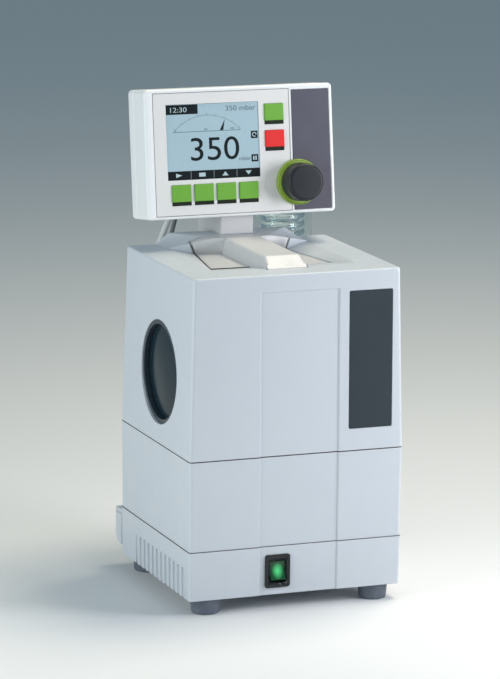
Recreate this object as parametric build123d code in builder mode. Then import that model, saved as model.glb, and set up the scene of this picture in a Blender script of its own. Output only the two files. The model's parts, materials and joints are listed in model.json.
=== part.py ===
from build123d import *
import os
from math import cos, radians, sin

# Diaphragm vacuum pump with a controller head on a mast. Millimetres; Z up, front -Y, right +X.
# The origin is on the floor, under the middle of the casing.

# ---- Casing ---------------------------------------------------------------------------------
casing_width = 184.0          # widest, at the upper seam
casing_depth = 168.0
foot_height = 13.0            # underside of the base above the floor
lower_seam_z = 53.1           # base tray to middle ring
upper_seam_z = 127.6          # middle ring to upper casing
rim_z = 275.4                 # top rim of the upper casing
casing_wall = 3.0
upper_taper_x = 3.3           # draw-in of each side of the upper casing, from seam to rim
upper_taper_y = 2.6           # the same, front and back
base_taper = 0.7              # draw-in of each base wall towards the floor
ring_setback = 0.6            # middle ring behind the base at the lower seam
seam_gap = 0.8                # open shadow gap between stacked casing parts
tongue_height = 5.0           # locating tongue of a casing part in the next one
tongue_wall = 2.0
fit_gap = 0.3                 # clearance between seated parts
key_gap = 0.25                # clearance round keys, plates and drawers
running_gap = 0.04            # radial clearance of parts that turn on each other
corner_radius = 3.0
rim_radius = 1.6
panel_left = -31.5            # shallow panel down the middle of the front
panel_right = 35.5
panel_top_z = 261.0
panel_depth = 1.0
panel_edge = 0.6

# ---- Top cover ------------------------------------------------------------------------------
top_slab = 8.0                # thickness of the top under the rim
deck_z = 284.0                # raised deck that carries the mast
deck_half_top = 51.6
deck_half_foot = 63.0
deck_front_y = 42.5           # front ridge of the deck beside the bar
deck_ridge_y = 55.0           # front ridge at its outer ends
handle_half = 14.5            # carrying bar between the two hand wells
handle_draft = 4.0            # how far each side of the bar spreads down to the well floor
handle_knee_y = -44.0
handle_front_y = -57.5
bar_edge = 2.5                # rounding of the bar's long edges and of its knee
well_floor_z = 270.5
well_floor_rear = 39.0        # outer end of the well floor, at the back
well_half = 62.0
well_front_y = -53.0
insert_front_y = -20.0        # front seam of the handle insert, on the well floor
insert_half_front = 52.0
insert_half_rear = 45.0
insert_gap = 0.9

# ---- Front and side fittings ----------------------------------------------------------------
foot_diameter = 24.5
foot_x = 73.0
foot_y = 69.7
foot_draft = 4.0
foot_edge = 1.5
foot_screw_radius = 2.2
switch_x = -15.9
switch_z = 32.6
switch_width = 21.6
switch_height = 27.5
switch_flange = 2.4           # how much the bezel is larger than its hole
switch_body_depth = 20.0
bezel_stand = 1.6
rocker_width = 12.6
rocker_height = 15.4
rocker_swing = 20.0           # degrees from on to off
rocker_depth = 5.5
rocker_foot = 5.2
rocker_crest = 3.2
rocker_valley = 1.9
plate_x = 63.0                # slate label panel at the right of the front
plate_width = 37.2
plate_bottom_z = 145.9
plate_height = 112.7
plate_thick = 0.6
plate_stand = 0.2
plate_corner = 1.2
window_y = -5.4               # axis of the pump heads and of the round side windows
window_z = 186.1
window_diameter = 85.5
window_rim = 3.4
glass_thick = 3.0
glass_recess = 4.5            # front of the glass behind the window ring
flute_count = 12              # upright flutes on both sides of the base
flute_pitch = 10.2
flute_width = 4.4
flute_depth = 1.2
flute_top_z = 38.0
flute_front_y = -67.0
air_slot_y = -18.0            # row of air slots in the base floor
air_slot_count = 7
air_slot_pitch = 12.0
air_slot_length = 56.0
air_slot_width = 5.0

# ---- Pump mechanism -------------------------------------------------------------------------
shaft_radius = 5.0
crank_throw = 4.0             # eccentricity of the crank pin
crank_pin_radius = 13.0
rod_thick = 10.0
rod_gap = 1.0                 # between the two rods, one above the other
rod_stem = 13.0
big_end_radius = 20.0
head_radius = 38.0
head_outer_x = casing_width / 2 - 13.0    # outer face of the head covers
head_thick = 12.3
head_rib_count = 6
head_rib_pitch = 9.0
head_rib_depth = 3.0
head_screw_circle = 32.0
head_screw_radius = 2.5
screw_head_height = 2.6
boss_height = 5.0
clamp_inner_radius = 18.0
clamp_outer_radius = 15.0
chamber_radius = clamp_inner_radius + crank_throw + 1.0
pocket_depth = 8.0
stud_radius = 4.0
diaphragm_thick = 2.2
crank_flange = 8.0
crankcase_bottom_z = 148.0
crankcase_height = 76.0
weight_thick = 9.0            # counterweight under the crank pin
weight_radius = 24.0
motor_radius = 46.0
motor_wall = 4.0
motor_bottom_z = 61.0
stator_bore = 23.0
stator_length = 44.0
air_gap = 0.6
bearing_radius = 13.0
bearing_width = 8.0
chassis_thick = 3.0
bush_x = casing_width / 2 - 30.0
bush_y = casing_depth / 2 - 28.0
bush_height = 12.0
bush_radius = 8.0
fan_radius = 40.0
fan_height = 12.0
fan_blades = 7
tube_radius = 4.0
power_board_y = casing_depth / 2 - 44.0

# ---- Rear of the casing and mast ------------------------------------------------------------
rear_box_depth = 14.5
rear_box_bottom_z = 20.0
rear_box_top_z = 50.0
rear_box_lid_z = 46.0
rear_box_inset = 0.6
box_wall = 2.5
lid_groove = 0.6
inlet_x = 48.0
inlet_z = 34.0
inlet_width = 48.0
inlet_height = 20.0
inlet_flange = 2.6
inlet_face = 2.0              # how far the inlet's flange stands out
pin_well = (24.2, 15.8)       # appliance socket and its three pins
pin_well_depth = 14.0
pin_size = (2.0, 4.0)
pin_length = 11.0
pin_spread = 7.0              # outer pins beside the middle one
pin_drop = 2.0                # outer pins below, and the middle one above, the centre line
drawer_width = 11.0
drawer_height = 13.0
drawer_length = 22.0
socket_x = -32.0              # data socket on the rear box
socket_radius = 6.5
socket_rim = 1.5
port_z = 203.0                # hose connectors on the back of the casing
suction_x = -58.0
port_radius = 5.0
port_flange = 2.0
barb_radius = 2.2
barb_rib = 0.6
barb_pitch = 4.0
barb_reach = 24.0
port_collar = 4.0
exhaust_reach = 18.0
mast_half = 14.5
mast_front_y = 58.0
mast_rear_y = 113.0
mast_hook_z = 236.0
mast_plate_height = 45.0

# ---- Controller head ------------------------------------------------------------------------
head_width = 165.5
head_height = 106.7
head_depth = 39.8
face_y = 51.0                 # middle of the sloping front face
face_z = 354.6
face_lean = 7.33              # degrees, top edge leaning back
face_edge = 2.0
front_shell_depth = 26.0
shell_wall = 2.6
shell_gap = 0.4
head_corner = 3.5
inlay_size = (119.2, 100.7)
inlay_centre = (-15.7, -0.45)
strip_size = (33.3, 99.5)
strip_centre = (62.75, -0.9)
inlay_thick = 0.8
display_size = (80.7, 61.6)
display_centre = (-23.7, 9.4)
display_sink = 0.6
window_thick = 1.5
key_width = 16.6
key_height = 16.8
key_lip = 3.0                 # dark ledge below each key cap
key_rise = 1.4
ledge_sink = 0.3
key_travel = 1.0
key_edge = 0.4
soft_key_u = -52.9            # first of the four keys under the display
soft_key_pitch = 19.65
soft_key_v = -34.0
start_key_at = (30.4, 29.6)
stop_key_at = (30.4, 7.7)
knob_at = (49.8, -27.6)
knob_radius = 16.0
knob_height = 15.6
knob_ring_radius = 18.9
knob_ring_height = 4.2
knob_spindle_radius = 3.0
board_depth = 16.0            # circuit board behind the front face
board_thick = 1.6

# ---- Condenser and cords --------------------------------------------------------------------
condenser_x = 64.5
condenser_y = 119.0
jacket_radius = 25.0
jacket_bottom_z = 216.0
jacket_top_z = 346.0
glass_wall = 2.0
neck_radius = 9.0
neck_foot_z = 186.0
arm_radius = 4.0              # side arm of the condenser and nose of the exhaust port
side_arm_reach = 17.0
coil_radius = 16.5
coil_wire = 2.4
coil_pitch = 7.2
coil_turns = 14
flask_radius = 30.0
flask_centre_z = 142.0
flask_neck_z = 194.0
cap_radius = 12.0
cap_height = 16.0
clip_z = 250.0
clip_height = 18.0
clip_wall = 3.0
sleeve_wall = 2.0
hose_radius = 2.8
cable_radius = 1.8
plug_radius = 4.0
plug_length = 15.0
plug_nose_radius = 3.2
plug_nose = 5.0
hose_head_at = (-28.0, -38.0) # connectors on the back of the controller
cable_head_at = (-19.8, -22.0)

# ---- Worked-out places ----------------------------------------------------------------------
upper_height = rim_z - upper_seam_z
axis_plane = Plane(origin=(0, window_y, window_z), x_dir=(0, 1, 0), z_dir=(1, 0, 0))
face_normal = Vector(0, -cos(radians(face_lean)), sin(radians(face_lean)))
face_plane = Plane(origin=(0, face_y, face_z), x_dir=(1, 0, 0), z_dir=face_normal)
face_axis = Axis((0, face_y, face_z), tuple(face_normal))


def side_half(z):
    """Half width of the upper casing at height z."""
    return casing_width / 2 - upper_taper_x * (z - upper_seam_z) / upper_height


def front_half(z):
    """Half depth of the upper casing at height z."""
    return casing_depth / 2 - upper_taper_y * (z - upper_seam_z) / upper_height


def tapered_block(z_low, half_low, z_high, half_high, radius):
    """Solid between two centred rounded rectangles, given by their half sizes in X and Y."""
    with BuildPart() as block:
        with BuildSketch(Plane.XY.offset(z_low)):
            RectangleRounded(2 * half_low[0], 2 * half_low[1], radius)
        with BuildSketch(Plane.XY.offset(z_high)):
            RectangleRounded(2 * half_high[0], 2 * half_high[1], radius)
        loft()
    return block.part


def front_panel(z_low, half_low, z_high, half_high):
    """Cutter that sinks the middle panel into a front wall that may lean."""
    with BuildPart() as cutter:
        with BuildSketch(Plane.YZ.offset(panel_left)):
            with BuildLine():
                Polyline(
                    (-half_low - 5, z_low),
                    (-half_low + panel_depth, z_low),
                    (-half_high + panel_depth, z_high),
                    (-half_high - 5, z_high),
                    close=True,
                )
            make_face()
        extrude(amount=panel_right - panel_left)
    return cutter.part


def panel_sides(builder):
    """Outer long edges on both sides of the sunk middle panel."""
    sides = []
    for x in (panel_left, panel_right):
        near = builder.edges().filter_by_position(Axis.X, x - key_gap, x + key_gap)
        tall = near.filter_by(lambda edge: edge.length > tongue_height * 2)
        sides.append(tall.sort_by(Axis.Y)[0])
    return sides


def turned(origin, along, profile):
    """Solid turned about a line; profile holds (distance along the line, radius) points."""
    across = (0, 1, 0) if abs(along[0]) > 0.5 else (1, 0, 0)
    with BuildPart() as piece:
        with BuildSketch(Plane(origin=origin, x_dir=along, z_dir=across)):
            with BuildLine():
                Polyline(*profile, close=True)
            make_face()
        revolve(axis=Axis(origin, along))
    return piece.part


# ---- Base -----------------------------------------------------------------------------------
tray_half = (casing_width / 2, casing_depth / 2)
tray_low = (casing_width / 2 - base_taper, casing_depth / 2 - base_taper)
inner_x = tray_low[0] - casing_wall
inner_y = tray_low[1] - casing_wall
floor_top_z = foot_height + casing_wall
chassis_bottom_z = motor_bottom_z - chassis_thick
post_top_z = chassis_bottom_z - bush_height

with BuildPart() as base_tray:
    add(tapered_block(foot_height, tray_low, lower_seam_z, tray_half, corner_radius))
    with BuildSketch(Plane.XY.offset(floor_top_z)):
        RectangleRounded(2 * inner_x, 2 * inner_y, corner_radius)
    extrude(amount=lower_seam_z, mode=Mode.SUBTRACT)
    # Posts under the rubber bushes of the chassis plate.
    with BuildSketch(Plane.XY.offset(floor_top_z)):
        with GridLocations(2 * bush_x, 2 * bush_y, 2, 2):
            Circle(bush_radius)
    extrude(amount=post_top_z - floor_top_z)
    # Air slots in the floor, in front of the circuit board.
    with BuildSketch(Plane.XY.offset(foot_height)):
        with Locations((0, air_slot_y)):
            with GridLocations(air_slot_pitch, 0, air_slot_count, 1):
                SlotOverall(air_slot_length, air_slot_width, rotation=90)
    extrude(amount=casing_wall, mode=Mode.SUBTRACT)
    # Upright flutes on both sides, open at the bottom edge.
    with BuildSketch(Plane.XY.offset(foot_height)):
        for side in (-1, 1):
            for index in range(flute_count):
                with Locations((side * tray_half[0], flute_front_y + index * flute_pitch)):
                    Rectangle(2 * (flute_depth + base_taper), flute_width)
    extrude(amount=flute_top_z - foot_height, mode=Mode.SUBTRACT)
    add(front_panel(foot_height, tray_low[1], lower_seam_z, tray_half[1]), mode=Mode.SUBTRACT)
    chamfer(panel_sides(base_tray), panel_edge)
    with BuildSketch(Plane.XZ.offset(inner_y - 1)):
        with Locations((switch_x, switch_z)):
            Rectangle(switch_width - switch_flange, switch_height - switch_flange)
    extrude(amount=casing_wall + 5, mode=Mode.SUBTRACT)
    # Openings in the back wall behind the connector box.
    with BuildSketch(Plane.XZ.offset(-tray_half[1] - 1)):
        with Locations((inlet_x, inlet_z)):
            Rectangle(inlet_width - inlet_flange, inlet_height - inlet_flange)
        with Locations((socket_x, inlet_z)):
            Circle(socket_radius + fit_gap)
    extrude(amount=casing_wall + 5, mode=Mode.SUBTRACT)
    with BuildSketch(Plane.XY.offset(foot_height)):
        with GridLocations(2 * foot_x, 2 * foot_y, 2, 2):
            Circle(foot_screw_radius)
    extrude(amount=casing_wall, mode=Mode.SUBTRACT)


def rubber_foot(x, y):
    """Drafted rubber foot with a soft lower edge and a screw hole right through it."""
    with BuildPart() as foot:
        with BuildSketch(Plane.XY.offset(foot_height)):
            with Locations((x, y)):
                Circle(foot_diameter / 2)
        extrude(amount=-foot_height, taper=foot_draft)
        fillet(foot.edges().group_by(Axis.Z)[0], foot_edge)
        with BuildSketch(Plane.XY):
            with Locations((x, y)):
                Circle(foot_screw_radius)
        extrude(amount=foot_height, mode=Mode.SUBTRACT)
    return foot.part


# ---- Middle ring ----------------------------------------------------------------------------
ring_bottom_z = lower_seam_z + seam_gap / 2
ring_top_z = upper_seam_z - seam_gap / 2
ring_low = (casing_width / 2 - ring_setback, casing_depth / 2 - ring_setback)
tongue_x = inner_x - fit_gap
tongue_y = inner_y - fit_gap

with BuildPart() as mid_ring:
    add(tapered_block(ring_bottom_z, ring_low, ring_top_z, tray_half, corner_radius))
    # Locating tongues: down into the base tray, up into the upper casing.
    with BuildSketch(Plane.XY.offset(ring_bottom_z - tongue_height)):
        RectangleRounded(2 * tongue_x, 2 * tongue_y, corner_radius)
    extrude(amount=ring_top_z - ring_bottom_z + 2 * tongue_height)
    with BuildSketch(Plane.XY.offset(ring_bottom_z - tongue_height)):
        RectangleRounded(2 * (tongue_x - tongue_wall), 2 * (tongue_y - tongue_wall), corner_radius)
    extrude(amount=ring_top_z - ring_bottom_z + 2 * tongue_height, mode=Mode.SUBTRACT)
    add(front_panel(ring_bottom_z, ring_low[1], ring_top_z, tray_half[1]), mode=Mode.SUBTRACT)
    chamfer(panel_sides(mid_ring), panel_edge)


# ---- Upper casing, deck, hand wells and carrying bar ----------------------------------------
casing_bottom_z = upper_seam_z + seam_gap / 2
upper_low = (side_half(casing_bottom_z), front_half(casing_bottom_z))
upper_high = (side_half(rim_z), front_half(rim_z))
slab_bottom_z = rim_z - top_slab
cavity_high = (side_half(slab_bottom_z) - casing_wall, front_half(slab_bottom_z) - casing_wall)
cavity_low = (upper_low[0] - casing_wall, upper_low[1] - casing_wall)
handle_foot = handle_half + handle_draft
handle_at_rim = handle_half + handle_draft * (deck_z - rim_z) / (deck_z - well_floor_z)
deck_rear_y = front_half(rim_z)
above_deck_z = deck_z + 6.0


def ridge_y(x):
    """Front ridge of the deck, which runs back towards its outer ends."""
    share = (abs(x) - handle_half) / (well_half - handle_half)
    return deck_front_y + (deck_ridge_y - deck_front_y) * share


def well_outline(inner, outer_front, outer_rear, front_y):
    """Four corners of a right-hand well at one height."""
    return [
        (inner, front_y),
        (outer_front, front_y),
        (outer_rear, ridge_y(outer_rear)),
        (inner, ridge_y(inner)),
    ]


def hand_well(side):
    """Dished well beside the bar, shallow under the rim and open above it."""
    levels = [
        (well_floor_z, well_outline(handle_foot, insert_half_front, well_floor_rear, insert_front_y)),
        (rim_z, well_outline(handle_at_rim, well_half, well_half, well_front_y)),
        (above_deck_z, well_outline(handle_half, well_half, well_half, well_front_y)),
    ]
    with BuildPart() as well:
        for (low_z, low), (high_z, high) in zip(levels, levels[1:]):
            for z, outline in ((low_z, low), (high_z, high)):
                with BuildSketch(Plane.XY.offset(z)):
                    with BuildLine():
                        Polyline(*[(side * x, y) for x, y in outline], close=True)
                    make_face()
            loft(ruled=True)
    return well.part


def insert_prism(grow):
    """Space taken by the handle insert, widened by grow; its side seams lean outward."""
    def outline(rear_half):
        half = [
            (handle_at_rim + grow, handle_front_y - grow),
            (handle_foot + grow, insert_front_y - grow),
            (insert_half_front + grow, insert_front_y - grow),
            (rear_half + grow, deck_ridge_y + grow),
            (handle_half + grow, mast_front_y - insert_gap + grow),
        ]
        return half + [(-x, y) for x, y in reversed(half)]

    lean = (insert_half_rear - well_floor_rear) / (deck_z - well_floor_z)
    low_half = well_floor_rear - lean * (well_floor_z - slab_bottom_z)
    high_half = insert_half_rear + lean * (above_deck_z - deck_z)
    with BuildPart() as prism:
        for z, rear_half in ((slab_bottom_z, low_half), (above_deck_z, high_half)):
            with BuildSketch(Plane.XY.offset(z)):
                with BuildLine():
                    Polyline(*outline(rear_half), close=True)
                make_face()
        loft(ruled=True)
    return prism.part


# The whole top as one form: tapered casing, crowned deck and bar, less the wells.
with BuildPart() as top_form:
    add(tapered_block(casing_bottom_z, upper_low, rim_z, upper_high, corner_radius))
    fillet(top_form.edges().group_by(Axis.Z)[-1], rim_radius)
    # Deck: a crown at the front ridge that widens into a flat table at the back.
    deck_start_y = deck_front_y - 2.0
    for y, flat in ((deck_start_y, handle_foot), (deck_rear_y, deck_half_top)):
        with BuildSketch(Plane.XZ.offset(-y)):
            with BuildLine():
                Polyline(
                    (-deck_half_foot, rim_z - rim_radius),
                    (-deck_half_foot, rim_z),
                    (-flat, deck_z),
                    (flat, deck_z),
                    (deck_half_foot, rim_z),
                    (deck_half_foot, rim_z - rim_radius),
                    close=True,
                )
            make_face()
    loft(ruled=True)
    # Carrying bar, sloping down at its front end.
    with BuildSketch(Plane.YZ.offset(-handle_foot)):
        with BuildLine():
            Polyline(
                (mast_front_y, slab_bottom_z),
                (mast_front_y, deck_z),
                (handle_knee_y, deck_z),
                (handle_front_y, rim_z),
                (handle_front_y, slab_bottom_z),
                close=True,
            )
        make_face()
    extrude(amount=2 * handle_foot)
    for side in (-1, 1):
        add(hand_well(side), mode=Mode.SUBTRACT)
    bar_edges = top_form.edges().filter_by_position(Axis.X, -handle_at_rim, handle_at_rim)
    bar_edges = bar_edges.filter_by_position(Axis.Y, handle_front_y, deck_start_y)
    fillet(bar_edges.filter_by_position(Axis.Z, deck_z - (deck_z - rim_z) / 2, deck_z), bar_edge)

with BuildPart() as handle_insert:
    add(top_form.part)
    add(insert_prism(0), mode=Mode.INTERSECT)

label_lean = Plane(
    origin=(plate_x, -front_half(plate_bottom_z + plate_height / 2), plate_bottom_z + plate_height / 2),
    x_dir=(1, 0, 0),
    z_dir=(0, -upper_height, upper_taper_y),
)

with BuildPart() as upper_casing:
    add(top_form.part)
    add(insert_prism(insert_gap), mode=Mode.SUBTRACT)
    add(tapered_block(casing_bottom_z - 1, cavity_low, slab_bottom_z, cavity_high, corner_radius),
        mode=Mode.SUBTRACT)
    add(front_panel(casing_bottom_z, upper_low[1], panel_top_z, front_half(panel_top_z)),
        mode=Mode.SUBTRACT)
    panel_top = upper_casing.edges().filter_by_position(Axis.Z, panel_top_z - 0.1, panel_top_z + 0.1)
    chamfer(panel_sides(upper_casing) + [panel_top.sort_by(Axis.Y)[0]], panel_edge)
    with BuildSketch(label_lean):
        RectangleRounded(plate_width + 2 * key_gap, plate_height + 2 * key_gap, plate_corner)
    extrude(amount=-plate_thick, mode=Mode.SUBTRACT)
    with BuildSketch(axis_plane.offset(-casing_width / 2 - 1)):
        Circle(window_diameter / 2)
    extrude(amount=casing_width + 2, mode=Mode.SUBTRACT)
    # Holes for the hose connectors in the back wall.
    with BuildSketch(Plane.XZ.offset(-casing_depth / 2 - 1)):
        with Locations((suction_x, port_z), (condenser_x, port_z)):
            Circle(port_radius + fit_gap)
    extrude(amount=casing_wall + 5, mode=Mode.SUBTRACT)

with BuildPart() as label_plate:
    with BuildSketch(label_lean.offset(-plate_thick)):
        RectangleRounded(plate_width, plate_height, plate_corner)
    extrude(amount=plate_thick + plate_stand)


# ---- Side windows ---------------------------------------------------------------------------
ring_face_x = side_half(window_z + window_diameter / 2) - plate_stand
glass_face_x = ring_face_x - glass_recess


def window_ring(side):
    """Ring pressed into the casing wall on one side, with an inner step that holds the glass."""
    outer = window_diameter / 2 - fit_gap
    bore = outer - window_rim
    step = ring_face_x - glass_face_x
    profile = [
        (0, bore),
        (0, outer),
        (-step - glass_thick - 1, outer),
        (-step - glass_thick - 1, bore + 1),
        (-step, bore + 1),
        (-step, bore),
    ]
    return turned((side * ring_face_x, window_y, window_z), (side, 0, 0), profile)


def sight_glass(side):
    """Flat round pane behind the ring's step."""
    radius = window_diameter / 2 - window_rim + 1 - 2 * fit_gap
    profile = [(0, 0), (0, radius), (-glass_thick, radius), (-glass_thick, 0)]
    return turned((side * (glass_face_x - key_gap), window_y, window_z), (side, 0, 0), profile)


# ---- Drive: chassis, motor, crankshaft ------------------------------------------------------
with BuildPart() as chassis_plate:
    with BuildSketch(Plane.XY.offset(chassis_bottom_z)):
        RectangleRounded(2 * (bush_x + bush_radius + 2), 2 * (bush_y + bush_radius + 2), 8)
        with Locations((0, window_y)):
            Circle(motor_radius - motor_wall - 4, mode=Mode.SUBTRACT)
        with GridLocations(2 * bush_x, 2 * bush_y, 2, 2):
            Circle(foot_screw_radius, mode=Mode.SUBTRACT)
    extrude(amount=chassis_thick)

with BuildPart() as mount_bushes:
    with BuildSketch(Plane.XY.offset(post_top_z)):
        with GridLocations(2 * bush_x, 2 * bush_y, 2, 2):
            Circle(bush_radius)
    extrude(amount=bush_height)
    # Waist of each bush, which makes it soft in shear.
    with BuildSketch(Plane.XY.offset(post_top_z + bush_height / 3)):
        with GridLocations(2 * bush_x, 2 * bush_y, 2, 2):
            Circle(bush_radius)
            Circle(bush_radius - 2, mode=Mode.SUBTRACT)
    extrude(amount=bush_height / 3, mode=Mode.SUBTRACT)

drive_axis = (0, window_y, 0)
bearing_z = motor_bottom_z + motor_wall
upper_bearing_z = crankcase_bottom_z + 1.0
spider_radius = motor_radius - motor_wall - 6

with BuildPart() as motor_housing:
    add(turned(drive_axis, (0, 0, 1), [
        (motor_bottom_z, bearing_radius + fit_gap / 3),
        (motor_bottom_z, motor_radius),
        (crankcase_bottom_z, motor_radius),
        (crankcase_bottom_z, motor_radius - motor_wall),
        (bearing_z + bearing_width, motor_radius - motor_wall),
        (bearing_z, motor_radius - motor_wall - 6),
        (bearing_z, bearing_radius + 4),
        (bearing_z + bearing_width, bearing_radius + 4),
        (bearing_z + bearing_width, bearing_radius + fit_gap / 3),
    ]))
    # Air openings between the spokes of the lower end.
    with BuildSketch(Plane.XY.offset(motor_bottom_z)):
        with Locations((0, window_y)):
            with PolarLocations((bearing_radius + 4 + spider_radius) / 2, 6):
                Circle(6)
    extrude(amount=motor_wall, mode=Mode.SUBTRACT)

stator_half = stator_length / 2
stator_mid_z = (crankcase_bottom_z + bearing_z + bearing_width) / 2
stator_core = turned(drive_axis, (0, 0, 1), [
    (stator_mid_z - stator_half, stator_bore),
    (stator_mid_z - stator_half, motor_radius - motor_wall - fit_gap),
    (stator_mid_z + stator_half, motor_radius - motor_wall - fit_gap),
    (stator_mid_z + stator_half, stator_bore),
])

shaft_top_z = window_z + rod_thick + 4.0
fan_top_z = chassis_bottom_z - 2.0
with BuildPart() as rotor_shaft:
    add(turned(drive_axis, (0, 0, 1), [
        (fan_top_z - fan_height, 0),
        (fan_top_z - fan_height, shaft_radius),
        (stator_mid_z - stator_half, shaft_radius),
        (stator_mid_z - stator_half, stator_bore - air_gap),
        (stator_mid_z + stator_half, stator_bore - air_gap),
        (stator_mid_z + stator_half, shaft_radius),
        (shaft_top_z, shaft_radius),
        (shaft_top_z, 0),
    ]))

with BuildPart() as shaft_bearings:
    for z in (motor_bottom_z, upper_bearing_z):
        with BuildSketch(Plane.XY.offset(z)):
            with Locations((0, window_y)):
                Circle(bearing_radius)
                Circle(shaft_radius + running_gap, mode=Mode.SUBTRACT)
        extrude(amount=bearing_width)

with BuildPart() as cooling_fan:
    with BuildSketch(Plane.XY.offset(fan_top_z - fan_height)):
        with Locations((0, window_y)):
            Circle(shaft_radius + 5)
    extrude(amount=fan_height)
    with BuildSketch(Plane.XY.offset(fan_top_z - 2)):
        with Locations((0, window_y)):
            Circle(fan_radius - 4)
    extrude(amount=2)
    with BuildSketch(Plane.XY.offset(fan_top_z - fan_height)):
        with Locations((0, window_y)):
            with PolarLocations((fan_radius + shaft_radius) / 2 + 2, fan_blades):
                Rectangle(fan_radius - shaft_radius - 4, 2, rotation=18)
    extrude(amount=fan_height)
    with BuildSketch(Plane.XY.offset(fan_top_z - fan_height)):
        with Locations((0, window_y)):
            Circle(shaft_radius + running_gap)
    extrude(amount=fan_height, mode=Mode.SUBTRACT)

pin_y = window_y + crank_throw
rod_half = rod_thick + rod_gap / 2
pin_bottom_z = window_z - rod_half - 1.0
pin_top_z = window_z + rod_half + 1.0

with BuildPart() as eccentric:
    with BuildSketch(Plane.XY.offset(pin_bottom_z)):
        with Locations((0, pin_y)):
            Circle(crank_pin_radius)
    extrude(amount=pin_top_z - pin_bottom_z)
    # Counterweight: a half disc opposite the throw.
    with BuildSketch(Plane.XY.offset(pin_bottom_z - weight_thick)):
        with Locations((0, window_y)):
            Circle(weight_radius)
        with Locations((0, window_y + weight_radius)):
            Rectangle(2 * weight_radius, 2 * weight_radius - 10, mode=Mode.SUBTRACT)
        with Locations((0, window_y)):
            Circle(crank_pin_radius - crank_throw)
    extrude(amount=weight_thick)
    with BuildSketch(Plane.XY.offset(pin_bottom_z - weight_thick)):
        with Locations((0, window_y)):
            Circle(shaft_radius + running_gap)
    extrude(amount=pin_top_z - pin_bottom_z + weight_thick, mode=Mode.SUBTRACT)

# ---- Pump heads -----------------------------------------------------------------------------
flange_x = head_outer_x - head_thick - diaphragm_thick

with BuildPart() as crankcase:
    with BuildSketch(Plane.XY.offset(crankcase_bottom_z)):
        with Locations((0, window_y)):
            RectangleRounded(2 * motor_radius, 2 * motor_radius, 14)
    extrude(amount=crankcase_height)
    with BuildSketch(axis_plane.offset(-flange_x)):
        Circle(chamber_radius + 6)
    extrude(amount=2 * flange_x)
    for start in (-flange_x, flange_x - crank_flange):
        with BuildSketch(axis_plane.offset(start)):
            Circle(head_radius)
        extrude(amount=crank_flange)
    with BuildSketch(axis_plane.offset(-flange_x)):
        Circle(chamber_radius)
    extrude(amount=2 * flange_x, mode=Mode.SUBTRACT)
    # Crank chamber, open at the top, and the seat of the upper bearing.
    chamber_z = upper_bearing_z + bearing_width
    with BuildSketch(Plane.XY.offset(chamber_z)):
        with Locations((0, window_y)):
            Circle(weight_radius + 5)
    extrude(amount=crankcase_height, mode=Mode.SUBTRACT)
    with BuildSketch(Plane.XY.offset(crankcase_bottom_z)):
        with Locations((0, window_y)):
            Circle(bearing_radius + fit_gap / 3)
    extrude(amount=crankcase_height, mode=Mode.SUBTRACT)


def connecting_rod(side):
    """Rod from the crank pin to its clamp discs, one above the other on the pin."""
    level = -side * (rod_thick + rod_gap) / 2
    ring_plane = Plane.XY.offset(window_z + level - rod_thick / 2)
    disc_plane = Plane(origin=(0, pin_y, window_z), x_dir=(0, 1, 0), z_dir=(side, 0, 0))
    support_x = flange_x - fit_gap
    with BuildPart() as rod:
        with BuildSketch(ring_plane):
            with Locations((0, pin_y)):
                Circle(big_end_radius)
            with Locations((side * support_x / 2, pin_y)):
                Rectangle(support_x, rod_stem)
        extrude(amount=rod_thick)
        with BuildSketch(disc_plane.offset(support_x - 4)):
            Circle(clamp_inner_radius)
        extrude(amount=4, taper=4)
        with BuildSketch(disc_plane.offset(support_x)):
            Circle(stud_radius - fit_gap)
        extrude(amount=diaphragm_thick + 4)
        with BuildSketch(disc_plane.offset(support_x + diaphragm_thick + 2 * fit_gap)):
            Circle(clamp_outer_radius)
        extrude(amount=2)
        with BuildSketch(ring_plane):
            with Locations((0, pin_y)):
                Circle(crank_pin_radius + running_gap)
        extrude(amount=rod_thick, mode=Mode.SUBTRACT)
    return rod.part


def diaphragm(side):
    """Rubber disc clamped between the crankcase flange and the head cover."""
    plane = Plane(origin=(side * flange_x, window_y, window_z), x_dir=(0, 1, 0), z_dir=(side, 0, 0))
    with BuildPart() as disc:
        with BuildSketch(plane):
            Circle(head_radius)
            with Locations((crank_throw, 0)):
                Circle(stud_radius, mode=Mode.SUBTRACT)
        extrude(amount=diaphragm_thick)
    return disc.part


def head_cover(side):
    """Round head with a shallow chamber, cooling ribs and two hose bosses."""
    inner_x = flange_x + diaphragm_thick
    plane = Plane(origin=(side * inner_x, window_y, window_z), x_dir=(0, 1, 0), z_dir=(side, 0, 0))
    boss_x = side * (inner_x + head_thick / 2)
    with BuildPart() as cover:
        with BuildSketch(plane):
            Circle(head_radius)
        extrude(amount=head_thick)
        # Bosses for the transfer tube on top and the port tube at the back.
        with BuildSketch(Plane.XY.offset(window_z)):
            with Locations((boss_x, window_y)):
                Circle(tube_radius + 1.6)
        extrude(amount=head_radius + boss_height)
        with BuildSketch(Plane.XZ.offset(-window_y)):
            with Locations((boss_x, window_z)):
                Circle(tube_radius + 1.6)
        extrude(amount=-head_radius - boss_height)
        with BuildSketch(plane):
            Circle(chamber_radius)
        extrude(amount=pocket_depth, taper=12, mode=Mode.SUBTRACT)
        # Grooves between the cooling ribs of the outer face.
        with BuildSketch(plane.offset(head_thick)):
            with GridLocations(head_rib_pitch, 0, head_rib_count, 1):
                Rectangle(head_rib_pitch / 2, 2 * (head_radius - 7))
        extrude(amount=-head_rib_depth, mode=Mode.SUBTRACT)
        with BuildSketch(plane):
            with PolarLocations(head_screw_circle, 4, start_angle=45):
                Circle(head_screw_radius)
        extrude(amount=head_thick, mode=Mode.SUBTRACT)
    return cover.part


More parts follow.
